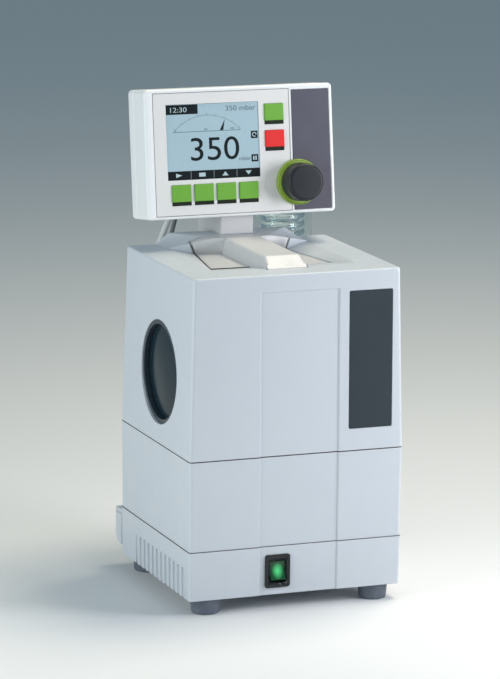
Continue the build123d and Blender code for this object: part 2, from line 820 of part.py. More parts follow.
with BuildPart() as head_screws:
    for side in (-1, 1):
        seat_x = flange_x + diaphragm_thick + head_thick
        plane = Plane(origin=(side * seat_x, window_y, window_z), x_dir=(0, 1, 0), z_dir=(side, 0, 0))
        with BuildSketch(plane):
            with PolarLocations(head_screw_circle, 4, start_angle=45):
                Circle(head_screw_radius * 1.7)
        extrude(amount=screw_head_height)
        with BuildSketch(plane):
            with PolarLocations(head_screw_circle, 4, start_angle=45):
                Circle(head_screw_radius - key_gap)
        extrude(amount=-head_thick)

boss_top_z = window_z + head_radius + boss_height
boss_rear_y = window_y + head_radius + boss_height
head_mid_x = flange_x + diaphragm_thick + head_thick / 2
port_inner_y = front_half(port_z) - casing_wall - port_flange - 2 * fit_gap


def bent_tube(points, bends, radius):
    """Round tube along straight runs joined by arcs."""
    with BuildPart() as tube:
        with BuildLine():
            path = FilletPolyline(*points, radius=bends)
        with BuildSketch(Plane(origin=path @ 0, z_dir=path % 0)):
            Circle(radius)
        sweep()
    return tube.part


transfer_tube = bent_tube([
    (-head_mid_x, window_y, boss_top_z),
    (-head_mid_x, window_y, boss_top_z + 16),
    (head_mid_x, window_y, boss_top_z + 16),
    (head_mid_x, window_y, boss_top_z),
], 12, tube_radius)
suction_tube = bent_tube([
    (-head_mid_x, boss_rear_y, window_z),
    (-head_mid_x, boss_rear_y + 16, window_z),
    (suction_x, port_inner_y - 16, port_z),
    (suction_x, port_inner_y, port_z),
], 8, tube_radius)
exhaust_tube = bent_tube([
    (head_mid_x, boss_rear_y, window_z),
    (head_mid_x, boss_rear_y + 16, window_z),
    (condenser_x, port_inner_y - 16, port_z),
    (condenser_x, port_inner_y, port_z),
], 8, tube_radius)
pump_tubing = Compound(children=[transfer_tube, suction_tube, exhaust_tube])

# ---- Base electrics and rear connector box --------------------------------------------------
board_z = floor_top_z + 8.0
with BuildPart() as power_board:
    with BuildSketch(Plane.XY.offset(board_z)):
        with Locations((0, power_board_y)):
            Rectangle(96, 46)
    extrude(amount=board_thick)
    with BuildSketch(Plane.XY.offset(floor_top_z)):
        with Locations((0, power_board_y)):
            with GridLocations(84, 36, 2, 2):
                Circle(3)
    extrude(amount=board_z - floor_top_z)
    with BuildSketch(Plane.XY.offset(board_z + board_thick)):
        with Locations((-26, power_board_y)):
            Rectangle(30, 26)
        with Locations((12, power_board_y), (32, power_board_y)):
            Circle(7)
    extrude(amount=9)

box_front_y = tray_half[1] + fit_gap
box_rear_y = casing_depth / 2 + rear_box_depth
box_half = casing_width / 2 - rear_box_inset
with BuildPart() as rear_box:
    with BuildSketch(Plane.YZ.offset(-box_half)):
        with BuildLine():
            Polyline(
                (box_front_y, rear_box_bottom_z),
                (box_rear_y - 6, rear_box_bottom_z),
                (box_rear_y, rear_box_bottom_z + 6),
                (box_rear_y, rear_box_top_z),
                (box_front_y, rear_box_top_z),
                close=True,
            )
        make_face()
    extrude(amount=2 * box_half)
    fillet(rear_box.edges().filter_by(Axis.X).group_by(Axis.Y)[-1], 1.5)
    with BuildSketch(Plane.YZ.offset(-box_half + box_wall)):
        with BuildLine():
            Polyline(
                (box_front_y, rear_box_bottom_z + box_wall),
                (box_rear_y - 6 - box_wall / 2, rear_box_bottom_z + box_wall),
                (box_rear_y - box_wall, rear_box_bottom_z + 6 + box_wall / 2),
                (box_rear_y - box_wall, rear_box_top_z - box_wall),
                (box_front_y, rear_box_top_z - box_wall),
                close=True,
            )
        make_face()
    extrude(amount=2 * (box_half - box_wall), mode=Mode.SUBTRACT)
    # Shadow line under the lid.
    with BuildSketch(Plane.XY.offset(rear_box_lid_z)):
        Rectangle(2 * box_half, 2 * box_rear_y)
        Rectangle(2 * (box_half - lid_groove), 2 * (box_rear_y - lid_groove), mode=Mode.SUBTRACT)
    extrude(amount=lid_groove, mode=Mode.SUBTRACT)
    with BuildSketch(Plane.XZ.offset(-box_rear_y - 1)):
        with Locations((inlet_x, inlet_z)):
            Rectangle(inlet_width - inlet_flange + fit_gap, inlet_height - inlet_flange + fit_gap)
        with Locations((socket_x, inlet_z)):
            Circle(socket_radius + fit_gap)
    extrude(amount=rear_box_depth, mode=Mode.SUBTRACT)

inlet_body_width = inlet_width - inlet_flange - fit_gap
inlet_body_height = inlet_height - inlet_flange - fit_gap
pins_x = inlet_x - 7.0
drawer_x = inlet_x + 16.0
inlet_front_y = box_rear_y + inlet_face
with BuildPart() as mains_inlet:
    with BuildSketch(Plane.XZ.offset(-box_rear_y)):
        with Locations((inlet_x, inlet_z)):
            RectangleRounded(inlet_width, inlet_height, 2)
    extrude(amount=-inlet_face)
    with BuildSketch(Plane.XZ.offset(-box_rear_y)):
        with Locations((inlet_x, inlet_z)):
            Rectangle(inlet_body_width, inlet_body_height)
    extrude(amount=drawer_length + 2)
    # Appliance socket with chamfered lower corners, and its three pins.
    with BuildSketch(Plane.XZ.offset(-inlet_front_y)):
        with Locations((pins_x, inlet_z)):
            Rectangle(*pin_well)
    extrude(amount=pin_well_depth, mode=Mode.SUBTRACT)
    with BuildSketch(Plane.XZ.offset(-inlet_front_y + pin_well_depth)):
        for across, rise in ((-pin_spread, -pin_drop), (pin_spread, -pin_drop), (0, pin_drop)):
            with Locations((pins_x + across, inlet_z + rise)):
                Rectangle(*pin_size)
    extrude(amount=-pin_length)
    with BuildSketch(Plane.XZ.offset(-inlet_front_y)):
        with Locations((drawer_x, inlet_z)):
            Rectangle(drawer_width + 2 * key_gap, drawer_height + 2 * key_gap)
    extrude(amount=drawer_length, mode=Mode.SUBTRACT)

with BuildPart() as fuse_drawer:
    with BuildSketch(Plane.XZ.offset(-inlet_front_y - 1)):
        with Locations((drawer_x, inlet_z)):
            Rectangle(drawer_width, drawer_height)
    extrude(amount=drawer_length)
    # Two fuse troughs, open at the top.
    with BuildSketch(Plane.XY.offset(inlet_z)):
        with Locations((drawer_x, inlet_front_y - drawer_length / 2)):
            with GridLocations(drawer_width / 2, 0, 2, 1):
                Rectangle(drawer_width / 2 - 1.5, drawer_length - 8)
    extrude(amount=drawer_height, mode=Mode.SUBTRACT)

socket_rim_y = box_rear_y + socket_rim
comm_socket = turned((socket_x, box_rear_y, inlet_z), (0, 1, 0), [
    (-rear_box_depth - 4, 0),
    (-rear_box_depth - 4, socket_radius),
    (0, socket_radius),
    (0, socket_radius + 1.5),
    (socket_rim, socket_radius + 1.5),
    (socket_rim, socket_radius - 1.5),
    (-6, socket_radius - 1.5),
    (-6, 0),
])


def hose_barb(origin, along, inner, reach, nose):
    """Screwed hose connector: flange inside, collar outside and a ribbed nose."""
    neck = nose - barb_rib
    profile = [
        (-inner - port_flange, 0),
        (-inner - port_flange, port_radius + 2),
        (-inner, port_radius + 2),
        (-inner, port_radius),
        (0, port_radius),
        (0, port_radius + 3),
        (port_collar, port_radius + 3),
        (port_collar, neck),
    ]
    for rib in (3, 2, 1):
        start = reach - rib * barb_pitch
        profile += [(start, neck), (start, nose), (start + 0.7 * barb_pitch, neck)]
    profile += [(reach, neck), (reach, 0)]
    return turned(origin, along, profile)


back_y = (0, 1, 0)
port_outer_y = front_half(port_z) + fit_gap
port_inside = casing_wall + 2 * fit_gap
suction_port = hose_barb(
    (suction_x, port_outer_y, port_z), back_y, port_inside, barb_reach, barb_radius)
exhaust_port = hose_barb(
    (condenser_x, port_outer_y, port_z), back_y, port_inside, exhaust_reach, arm_radius)
head_back = face_plane.offset(-head_depth)
hose_exit = head_back.from_local_coords((*hose_head_at, 0))
cable_exit = head_back.from_local_coords((*cable_head_at, 0))
back_direction = -face_plane.z_dir
head_port = hose_barb(
    hose_exit, tuple(back_direction), shell_wall + fit_gap, barb_reach, barb_radius)

# ---- Switch ---------------------------------------------------------------------------------
bezel_top_share = (switch_z + switch_height / 2 - foot_height) / (lower_seam_z - foot_height)
switch_face_y = panel_depth - tray_low[1] - base_taper * bezel_top_share
pivot_y = switch_face_y + 1.5
rocker_tilt = radians(rocker_swing / 2)
rocker_plane = Plane(
    origin=(switch_x, pivot_y, switch_z),
    x_dir=(0, -cos(rocker_tilt), sin(rocker_tilt)),
    z_dir=(-1, 0, 0),
)
bezel_opening = (rocker_width + 2 * fit_gap, rocker_height + 2.4)

with BuildPart() as switch_bezel:
    with BuildSketch(Plane.XZ.offset(-switch_face_y)):
        with Locations((switch_x, switch_z)):
            RectangleRounded(switch_width, switch_height, 2.2)
    extrude(amount=bezel_stand)
    chamfer(switch_bezel.edges().group_by(Axis.Y)[0], 0.6)
    with BuildSketch(Plane.XZ.offset(-switch_face_y)):
        with Locations((switch_x, switch_z)):
            Rectangle(switch_width - switch_flange - fit_gap, switch_height - switch_flange - fit_gap)
    extrude(amount=-switch_body_depth)
    with BuildSketch(Plane.XZ.offset(-switch_face_y - switch_body_depth + 2)):
        with Locations((switch_x, switch_z)):
            Rectangle(*bezel_opening)
    extrude(amount=switch_body_depth + bezel_stand, mode=Mode.SUBTRACT)

# The rocker is a shallow V seen from the side; at rest its upper half is pressed in.
with BuildPart() as rocker:
    with BuildSketch(rocker_plane.offset(-rocker_width / 2)):
        with BuildLine():
            Polyline(
                (-rocker_depth, -rocker_foot),
                (rocker_crest, -rocker_height / 2),
                (rocker_valley, 0),
                (rocker_crest, rocker_height / 2),
                (-rocker_depth, rocker_foot),
                close=True,
            )
        make_face()
    extrude(amount=rocker_width)

# ---- Mast -----------------------------------------------------------------------------------
head_bottom_rear = face_plane.from_local_coords((0, -head_height / 2 - fit_gap, -head_depth - fit_gap))
head_bottom_front = face_plane.from_local_coords((0, -head_height / 2 - fit_gap, 0))
under_slope = (head_bottom_rear.Z - head_bottom_front.Z) / (head_bottom_rear.Y - head_bottom_front.Y)
mast_meets_z = head_bottom_front.Z + under_slope * (mast_front_y - head_bottom_front.Y)
back_top = face_plane.from_local_coords((0, -head_height / 2 + mast_plate_height, -head_depth - fit_gap))

with BuildPart() as mast:
    with BuildSketch(Plane.YZ.offset(-mast_half)):
        with BuildLine():
            Polyline(
                (mast_front_y, deck_z),
                (mast_front_y, mast_meets_z),
                (head_bottom_rear.Y, head_bottom_rear.Z),
                (back_top.Y, back_top.Z),
                (mast_rear_y - 8, back_top.Z),
                (mast_rear_y, back_top.Z - 12),
                (mast_rear_y, mast_hook_z + 24),
                (front_half(mast_hook_z) + 10, mast_hook_z),
                (front_half(mast_hook_z) + fit_gap, mast_hook_z),
                (front_half(rim_z) + fit_gap, rim_z),
                (front_half(rim_z) + fit_gap, deck_z),
                close=True,
            )
        make_face()
    extrude(amount=2 * mast_half)
    chamfer(mast.edges().filter_by(Axis.Z).group_by(Axis.Y)[0], 0.6)

# ---- Controller head ------------------------------------------------------------------------
def head_block(front, rear, inset, radius):
    """Rounded block of the controller between two depths behind its face."""
    with BuildPart() as block:
        with BuildSketch(face_plane.offset(-rear)):
            RectangleRounded(head_width - 2 * inset, head_height - 2 * inset, radius)
        extrude(amount=rear - front)
    return block.part


def face_plate(size, centre, front, rear, radius):
    """Plate parallel to the controller's face, between two depths."""
    with BuildPart() as plate:
        with BuildSketch(face_plane.offset(-rear)):
            with Locations(centre):
                RectangleRounded(*size, radius)
        extrude(amount=rear - front)
    return plate.part


def grown(size, margin):
    """Rectangle size with a margin on every side."""
    return (size[0] + 2 * margin, size[1] + 2 * margin)


key_size = (key_width, key_height)
soft_keys_at = [(soft_key_u + index * soft_key_pitch, soft_key_v) for index in range(4)]
key_centres = soft_keys_at + [start_key_at, stop_key_at]
through = shell_wall + inlay_thick

with BuildPart() as controller_front:
    add(head_block(0, front_shell_depth, 0, head_corner))
    fillet(controller_front.faces().sort_by(Axis.Y)[0].edges(), face_edge)
    add(head_block(through, front_shell_depth + 1, shell_wall, 2), mode=Mode.SUBTRACT)
    for size, centre in ((inlay_size, inlay_centre), (strip_size, strip_centre)):
        add(face_plate(grown(size, key_gap), centre, -1, inlay_thick, 0.8), mode=Mode.SUBTRACT)
    add(face_plate(grown(display_size, key_gap), display_centre, -1, through + 1, 0.5),
        mode=Mode.SUBTRACT)
    for centre in key_centres:
        add(face_plate(grown(key_size, key_gap), centre, -1, through + 1, 0.5), mode=Mode.SUBTRACT)
    with BuildSketch(face_plane.offset(-inlay_thick)):
        with Locations(knob_at):
            Circle(knob_ring_radius + key_gap)
    extrude(amount=2, mode=Mode.SUBTRACT)
    with BuildSketch(face_plane.offset(-through - 3)):
        with Locations(knob_at):
            Circle(knob_spindle_radius + 3)
    extrude(amount=3)
    with BuildSketch(face_plane.offset(-through - 4)):
        with Locations(knob_at):
            Circle(knob_spindle_radius + running_gap)
    extrude(amount=through + 5, mode=Mode.SUBTRACT)

with BuildPart() as controller_rear:
    add(head_block(front_shell_depth + shell_gap, head_depth, 0, head_corner))
    fillet(controller_rear.faces().sort_by(Axis.Y)[-1].edges(), face_edge)
    # Tongue that locates the rear shell inside the front one.
    add(head_block(front_shell_depth - 4, front_shell_depth + shell_gap, shell_wall + fit_gap, 2))
    add(head_block(front_shell_depth - 5, head_depth - shell_wall, 2 * shell_wall, 2),
        mode=Mode.SUBTRACT)
    with BuildSketch(head_back.offset(-1)):
        with Locations(hose_head_at):
            Circle(port_radius + fit_gap)
        with Locations(cable_head_at):
            Circle(plug_nose_radius + fit_gap)
    extrude(amount=shell_wall + 2, mode=Mode.SUBTRACT)

with BuildPart() as inlay_panel:
    add(face_plate(inlay_size, inlay_centre, 0, inlay_thick, 0.8))
    add(face_plate(grown(display_size, key_gap), display_centre, -1, 2, 0.5), mode=Mode.SUBTRACT)
    for centre in key_centres:
        add(face_plate(grown(key_size, key_gap), centre, -1, 2, 0.5), mode=Mode.SUBTRACT)
    with BuildSketch(face_plane.offset(-2)):
        with Locations(knob_at):
            Circle(knob_ring_radius + key_gap)
    extrude(amount=4, mode=Mode.SUBTRACT)

with BuildPart() as side_strip:
    add(face_plate(strip_size, strip_centre, 0, inlay_thick, 0.8))
    with BuildSketch(face_plane.offset(-2)):
        with Locations(knob_at):
            Circle(knob_ring_radius + key_gap)
    extrude(amount=4, mode=Mode.SUBTRACT)

display_window = face_plate(
    display_size, display_centre, display_sink, display_sink + window_thick, 0.5)

with BuildPart() as controller_board:
    add(face_plate((head_width - 24, head_height - 22), (0, 0), board_depth, board_depth + board_thick, 1))
    # Display module, up to the back of the window.
    module_front = display_sink + window_thick + fit_gap
    add(face_plate(grown(display_size, -1), display_centre, module_front, board_depth, 0.5))
    # Encoder under the knob.
    with BuildSketch(face_plane.offset(-board_depth)):
        with Locations(knob_at):
            Rectangle(12, 12)
            Circle(knob_spindle_radius + running_gap, mode=Mode.SUBTRACT)
    extrude(amount=board_depth - through - 3.5)
    # Spacers to the rear shell.
    with BuildSketch(face_plane.offset(-board_depth - board_thick)):
        with GridLocations(head_width - 40, head_height - 36, 2, 2):
            Circle(3)
    extrude(amount=-(head_depth - shell_wall - board_depth - board_thick - fit_gap))


def key(centre):
    """Key with a dark ledge below its raised cap and a stem towards the board."""
    u, v = centre
    cap = (key_width, key_height - key_lip)
    with BuildPart() as body:
        add(face_plate(key_size, centre, ledge_sink, through, 0.5))
        add(face_plate(cap, (u, v + key_lip / 2), -key_rise, ledge_sink, 0.5))
        fillet(body.faces().sort_by(face_axis)[-1].edges(), key_edge)
        with BuildSketch(face_plane.offset(-through)):
            with Locations(centre):
                Circle(2.5)
        extrude(amount=-(board_depth - through - key_travel - 0.5))
    return body.part


knob_line = back_direction * -1
knob_base = face_plane.from_local_coords((*knob_at, 0))
knob_ring = turned(knob_base, tuple(knob_line), [
    (-inlay_thick, knob_spindle_radius + 2),
    (-inlay_thick, knob_ring_radius),
    (knob_ring_height * 0.6, knob_ring_radius),
    (knob_ring_height * 0.7, knob_ring_radius - 1.2),
    (knob_ring_height, knob_ring_radius - 1.6),
    (knob_ring_height, knob_spindle_radius + 2),
])
knob_foot = knob_ring_height + 0.3
knob_cap = turned(knob_base, tuple(knob_line), [
    (-board_depth + 1.0, 0),
    (-board_depth + 1.0, knob_spindle_radius),
    (knob_foot, knob_spindle_radius),
    (knob_foot, knob_radius),
    (knob_foot + knob_height - 1.5, knob_radius - 0.4),
    (knob_foot + knob_height, knob_radius - 1.9),
    (knob_foot + knob_height - 0.6, 0),
])

# ---- Condenser, flask and holder ------------------------------------------------------------
condenser_foot = (condenser_x, condenser_y, 0)
up = (0, 0, 1)
neck_bore = neck_radius - glass_wall
jacket_bore = jacket_radius - glass_wall
shoulder = 10.0
neck_top_z = jacket_top_z + shoulder + 10

with BuildPart() as condenser_jacket:
    add(turned(condenser_foot, up, [
        (neck_foot_z, neck_bore),
        (neck_foot_z, neck_radius),
        (jacket_bottom_z - shoulder + 4, neck_radius),
        (jacket_bottom_z - 2, jacket_radius - 6),
        (jacket_bottom_z + 4, jacket_radius),
        (jacket_top_z - 4, jacket_radius),
        (jacket_top_z + 2, jacket_radius - 6),
        (jacket_top_z + shoulder - 4, neck_radius),
        (neck_top_z, neck_radius),
        (neck_top_z, neck_bore),
        (jacket_top_z + shoulder - 5, neck_bore),
        (jacket_top_z, jacket_bore - 6),
        (jacket_top_z - 5, jacket_bore),
        (jacket_bottom_z + 5, jacket_bore),
        (jacket_bottom_z, jacket_bore - 6),
        (jacket_bottom_z - shoulder + 5, neck_bore),
    ]))
    # Side arm that takes the exhaust.
    with BuildSketch(Plane.XZ.offset(-condenser_y)):
        with Locations((condenser_x, port_z)):
            Circle(arm_radius)
    extrude(amount=side_arm_reach)
    with BuildSketch(Plane.XZ.offset(-condenser_y)):
        with Locations((condenser_x, port_z)):
            Circle(arm_radius - glass_wall)
    extrude(amount=side_arm_reach, mode=Mode.SUBTRACT)
    with BuildSketch(Plane.XY.offset(neck_foot_z)):
        with Locations((condenser_x, condenser_y)):
            Circle(neck_bore)
    extrude(amount=jacket_bottom_z - neck_foot_z, mode=Mode.SUBTRACT)

coil_height = coil_pitch * coil_turns
coil_bottom_z = (jacket_bottom_z + jacket_top_z - coil_height) / 2
with BuildPart() as cooling_coil:
    with BuildLine():
        turns = Helix(
            coil_pitch, coil_height, coil_radius, center=(condenser_x, condenser_y, coil_bottom_z),
        )
    with BuildSketch(Plane(origin=turns @ 0, z_dir=turns % 0)):
        RegularPolygon(coil_wire, 4)
    sweep(is_frenet=True)
    # Both ends turn outward to the wall of the jacket, which holds them.
    stub_reach = jacket_bore - fit_gap - coil_radius
    with BuildSketch(Plane.YZ.offset(condenser_x + coil_radius)):
        for z in (coil_bottom_z, coil_bottom_z + coil_height):
            with Locations((condenser_y, z)):
                Circle(coil_wire * 0.8)
    extrude(amount=stub_reach)

with BuildPart() as receiving_flask:
    neck_inner = neck_radius + fit_gap
    neck_outer = neck_inner + glass_wall
    with BuildSketch(Plane(origin=condenser_foot, x_dir=up, z_dir=(1, 0, 0))):
        with Locations((flask_centre_z, 0)):
            Circle(flask_radius)
        with Locations(((flask_centre_z + flask_neck_z) / 2, 0)):
            Rectangle(flask_neck_z - flask_centre_z, 2 * neck_outer)
        with Locations((flask_centre_z, 0)):
            Circle(flask_radius - glass_wall, mode=Mode.SUBTRACT)
        with Locations(((flask_centre_z + flask_neck_z) / 2, 0)):
            Rectangle(flask_neck_z - flask_centre_z, 2 * neck_inner, mode=Mode.SUBTRACT)
        split(bisect_by=Plane.XZ)
    revolve(axis=Axis(condenser_foot, up))

condenser_cap = turned(condenser_foot, up, [
    (neck_top_z + fit_gap, 0),
    (neck_top_z + fit_gap, neck_radius + fit_gap),
    (neck_top_z - cap_height / 2, neck_radius + fit_gap),
    (neck_top_z - cap_height / 2, cap_radius),
    (neck_top_z + cap_height / 2 - 1, cap_radius),
    (neck_top_z + cap_height / 2, cap_radius - 1),
    (neck_top_z + cap_height / 2, 0),
])

clip_bore = jacket_radius + fit_gap
clip_seat_y = front_half(clip_z - clip_height / 2) + fit_gap
with BuildPart() as condenser_clip:
    with BuildSketch(Plane.XY.offset(clip_z - clip_height / 2)):
        with Locations((condenser_x, condenser_y)):
            Circle(clip_bore + clip_wall)
        with Locations((condenser_x, (clip_seat_y + condenser_y) / 2)):
            Rectangle(20, condenser_y - clip_seat_y)
        with Locations((condenser_x, condenser_y)):
            Circle(clip_bore, mode=Mode.SUBTRACT)
        # Mouth of the clip, at the back.
        with Locations((condenser_x, condenser_y + clip_bore)):
            Rectangle(1.4 * clip_bore, clip_bore, mode=Mode.SUBTRACT)
    extrude(amount=clip_height)

sleeve_bore = arm_radius + fit_gap
sleeve_start_y = port_outer_y + port_collar + fit_gap
sleeve_end_y = condenser_y - neck_radius - 2.0
with BuildPart() as exhaust_sleeve:
    with BuildSketch(Plane.XZ.offset(-sleeve_start_y)):
        with Locations((condenser_x, port_z)):
            Circle(sleeve_bore + sleeve_wall)
            Circle(sleeve_bore, mode=Mode.SUBTRACT)
    extrude(amount=sleeve_start_y - sleeve_end_y)

# ---- Hose and cable -------------------------------------------------------------------------
def lies(points):
    """Bend radii for a route, as large as the runs beside each corner allow."""
    radii = []
    for before, corner, after in zip(points, points[1:], points[2:]):
        first = Vector(*corner) - Vector(*before)
        second = Vector(*after) - Vector(*corner)
        half_turn = radians(first.get_angle(second)) / 2
        radii.append(0.45 * min(first.length, second.length) * cos(half_turn) / sin(half_turn))
    return radii


hose_start = hose_exit + back_direction * (port_collar + fit_gap)
cable_start = cable_exit + back_direction * (plug_length + fit_gap)
hose_points = [
    tuple(hose_start),
    (-28.2, 108.0, 309.5),
    (-28.6, 122.0, 305.0),
    (-29.6, 132.0, 296.0),
    (-32.0, 138.0, 284.0),
    (-36.0, 141.5, 271.0),
    (-41.0, 143.0, 257.0),
    (-46.5, 143.0, 242.0),
    (-51.5, 139.5, 227.5),
    (-55.5, 132.0, 214.5),
    (-57.6, 121.0, 206.0),
    (suction_x, 108.0, port_z + 0.2),
    (suction_x, port_outer_y + port_collar + fit_gap, port_z),
]
cable_points = [
    tuple(cable_start),
    (-20.0, 115.0, 323.5),
    (-21.0, 126.0, 316.0),
    (-23.0, 132.5, 303.0),
    (-26.0, 135.0, 288.0),
    (-30.0, 136.5, 270.0),
    (-34.5, 137.0, 249.0),
    (-38.5, 137.5, 225.0),
    (-41.5, 138.5, 198.0),
    (-43.0, 140.5, 168.0),
    (-42.5, 142.5, 138.0),
    (-40.0, 143.0, 110.0),
    (-36.5, 142.0, 86.0),
    (-34.0, 140.5, 66.0),
    (-32.8, 137.0, 50.0),
    (-32.2, 130.5, 39.0),
    (socket_x + 0.1, 123.0, inlet_z + 0.3),
    (socket_x, socket_rim_y + plug_length + fit_gap, inlet_z),
]
hose_bends = lies(hose_points)
cable_bends = lies(cable_points)
print("hose bends", [round(bend, 1) for bend in hose_bends])
print("cable bends", [round(bend, 1) for bend in cable_bends])
vacuum_hose = bent_tube(hose_points, hose_bends, hose_radius)
signal_cable = bent_tube(cable_points, cable_bends, cable_radius)


def cable_plug(origin, along):
    """Moulded plug with a nose that enters its socket."""
    return turned(origin, along, [
        (-plug_nose, 0),
        (-plug_nose, plug_nose_radius),
        (fit_gap, plug_nose_radius),
        (fit_gap, plug_radius),
        (plug_length * 0.6, plug_radius),
        (plug_length, cable_radius + 0.6),
        (plug_length, 0),
    ])


cable_plugs = Compound(children=[
    cable_plug(cable_exit, tuple(back_direction)),
    cable_plug((socket_x, socket_rim_y, inlet_z), back_y),
])
hose_barbs = Compound(children=[suction_port, exhaust_port, head_port])

# ---- Pieces ---------------------------------------------------------------------------------
pieces = {
    "base_tray": base_tray.part,
    "mid_ring": mid_ring.part,
    "upper_casing": upper_casing.part,
    "handle_insert": handle_insert.part,
    "label_plate": label_plate.part,
    "chassis_plate": chassis_plate.part,
    "mount_bushes": mount_bushes.part,
    "motor_housing": motor_housing.part,
    "stator_core": stator_core,
    "shaft_bearings": shaft_bearings.part,
    "rotor_shaft": rotor_shaft.part,
    "cooling_fan": cooling_fan.part,
    "eccentric": eccentric.part,
    "crankcase": crankcase.part,
    "head_screws": head_screws.part,
    "pump_tubing": pump_tubing,
    "power_board": power_board.part,
    "rear_box": rear_box.part,
    "mains_inlet": mains_inlet.part,
    "fuse_drawer": fuse_drawer.part,
    "comm_socket": comm_socket,
    "hose_barbs": hose_barbs,
    "switch_bezel": switch_bezel.part,
    "rocker": rocker.part,
    "mast": mast.part,
    "controller_front": controller_front.part,
    "controller_rear": controller_rear.part,
    "inlay_panel": inlay_panel.part,
    "side_strip": side_strip.part,
    "display_window": display_window,
    "controller_board": controller_board.part,
    "start_key": key(start_key_at),
    "stop_key": key(stop_key_at),
    "knob_ring": knob_ring,
    "knob_cap": knob_cap,
    "condenser_jacket": condenser_jacket.part,
    "cooling_coil": cooling_coil.part,
    "condenser_cap": condenser_cap,
    "condenser_clip": condenser_clip.part,
    "receiving_flask": receiving_flask.part,
    "exhaust_sleeve": exhaust_sleeve.part,
    "vacuum_hose": vacuum_hose,
    "signal_cable": signal_cable,
    "cable_plugs": cable_plugs,
    "window_rings": Compound(children=[window_ring(-1), window_ring(1)]),
    "sight_glasses": Compound(children=[sight_glass(-1), sight_glass(1)]),
}
for across, side in (("left", -1), ("right", 1)):
    pieces[f"head_cover_{across}"] = head_cover(side)
    pieces[f"diaphragm_{across}"] = diaphragm(side)
    pieces[f"connecting_rod_{across}"] = connecting_rod(side)
    for along, y in (("front", -foot_y), ("rear", foot_y)):
        pieces[f"foot_{along}_{across}"] = rubber_foot(side * foot_x, y)
for index, centre in enumerate(soft_keys_at, start=1):
    pieces[f"soft_key_{index}"] = key(centre)

os.makedirs("parts", exist_ok=True)
for label, piece in pieces.items():
    piece.label = label
    export_step(piece, f"parts/{label}.step")
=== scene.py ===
import json
import logging
import math
from dataclasses import dataclass
from enum import Enum
from typing import Iterable, Sequence

import bmesh
import bpy
from mathutils import Matrix, Vector
from mathutils.bvhtree import BVHTree

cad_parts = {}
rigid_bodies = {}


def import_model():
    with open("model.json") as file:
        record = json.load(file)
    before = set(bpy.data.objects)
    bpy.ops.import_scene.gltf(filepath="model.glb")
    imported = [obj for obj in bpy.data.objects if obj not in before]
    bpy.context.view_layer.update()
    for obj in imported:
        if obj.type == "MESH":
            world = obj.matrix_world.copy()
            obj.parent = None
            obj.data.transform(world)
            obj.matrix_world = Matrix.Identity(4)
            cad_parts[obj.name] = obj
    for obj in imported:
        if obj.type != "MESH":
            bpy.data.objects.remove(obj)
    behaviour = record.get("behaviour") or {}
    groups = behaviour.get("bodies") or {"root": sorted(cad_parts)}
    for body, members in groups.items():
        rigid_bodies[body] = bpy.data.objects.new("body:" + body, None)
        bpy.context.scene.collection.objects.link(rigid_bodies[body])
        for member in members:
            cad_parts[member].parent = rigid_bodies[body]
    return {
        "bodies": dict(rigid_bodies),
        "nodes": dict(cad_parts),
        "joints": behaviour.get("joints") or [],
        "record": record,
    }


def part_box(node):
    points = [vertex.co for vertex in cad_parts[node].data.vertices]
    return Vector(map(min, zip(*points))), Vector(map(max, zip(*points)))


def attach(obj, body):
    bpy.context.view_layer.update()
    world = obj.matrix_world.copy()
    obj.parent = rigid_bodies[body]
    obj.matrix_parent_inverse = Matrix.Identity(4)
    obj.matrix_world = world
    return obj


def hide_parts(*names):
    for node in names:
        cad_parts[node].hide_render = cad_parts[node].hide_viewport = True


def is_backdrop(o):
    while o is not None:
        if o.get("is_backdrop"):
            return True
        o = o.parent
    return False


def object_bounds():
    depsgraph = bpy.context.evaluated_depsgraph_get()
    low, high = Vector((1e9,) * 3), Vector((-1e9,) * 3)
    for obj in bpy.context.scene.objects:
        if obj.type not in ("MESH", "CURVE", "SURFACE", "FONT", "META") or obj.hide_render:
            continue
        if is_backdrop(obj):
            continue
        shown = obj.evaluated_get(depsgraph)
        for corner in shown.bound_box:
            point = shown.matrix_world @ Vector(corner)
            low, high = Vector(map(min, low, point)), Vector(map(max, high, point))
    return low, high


Colour = tuple[float, float, float]
Point = tuple[float, float, float]
Pair = tuple[float, float]
Patch = tuple[float, float, float, float]
Wording = tuple[str, float, float, float, float]

MM = 0.001
UP = Vector((0.0, 0.0, 1.0))
PUMP = "pump"
HOSE_START = (-0.028, 0.08989, 0.31128)
HOSE_END = (-0.058, 0.08729, 0.203)
CABLE_START = (-0.0198, 0.10284, 0.32575)
CABLE_END = (-0.032, 0.1153, 0.034)
WELD = 0.000001
CREASE = 35.0
COAT_ROUGHNESS = 0.08
BEVEL_RAYS = 6
BLACK = (0.0, 0.0, 0.0, 1.0)
DUST_TONE = (0.42, 0.40, 0.37, 1.0)

log = logging.getLogger("pump")


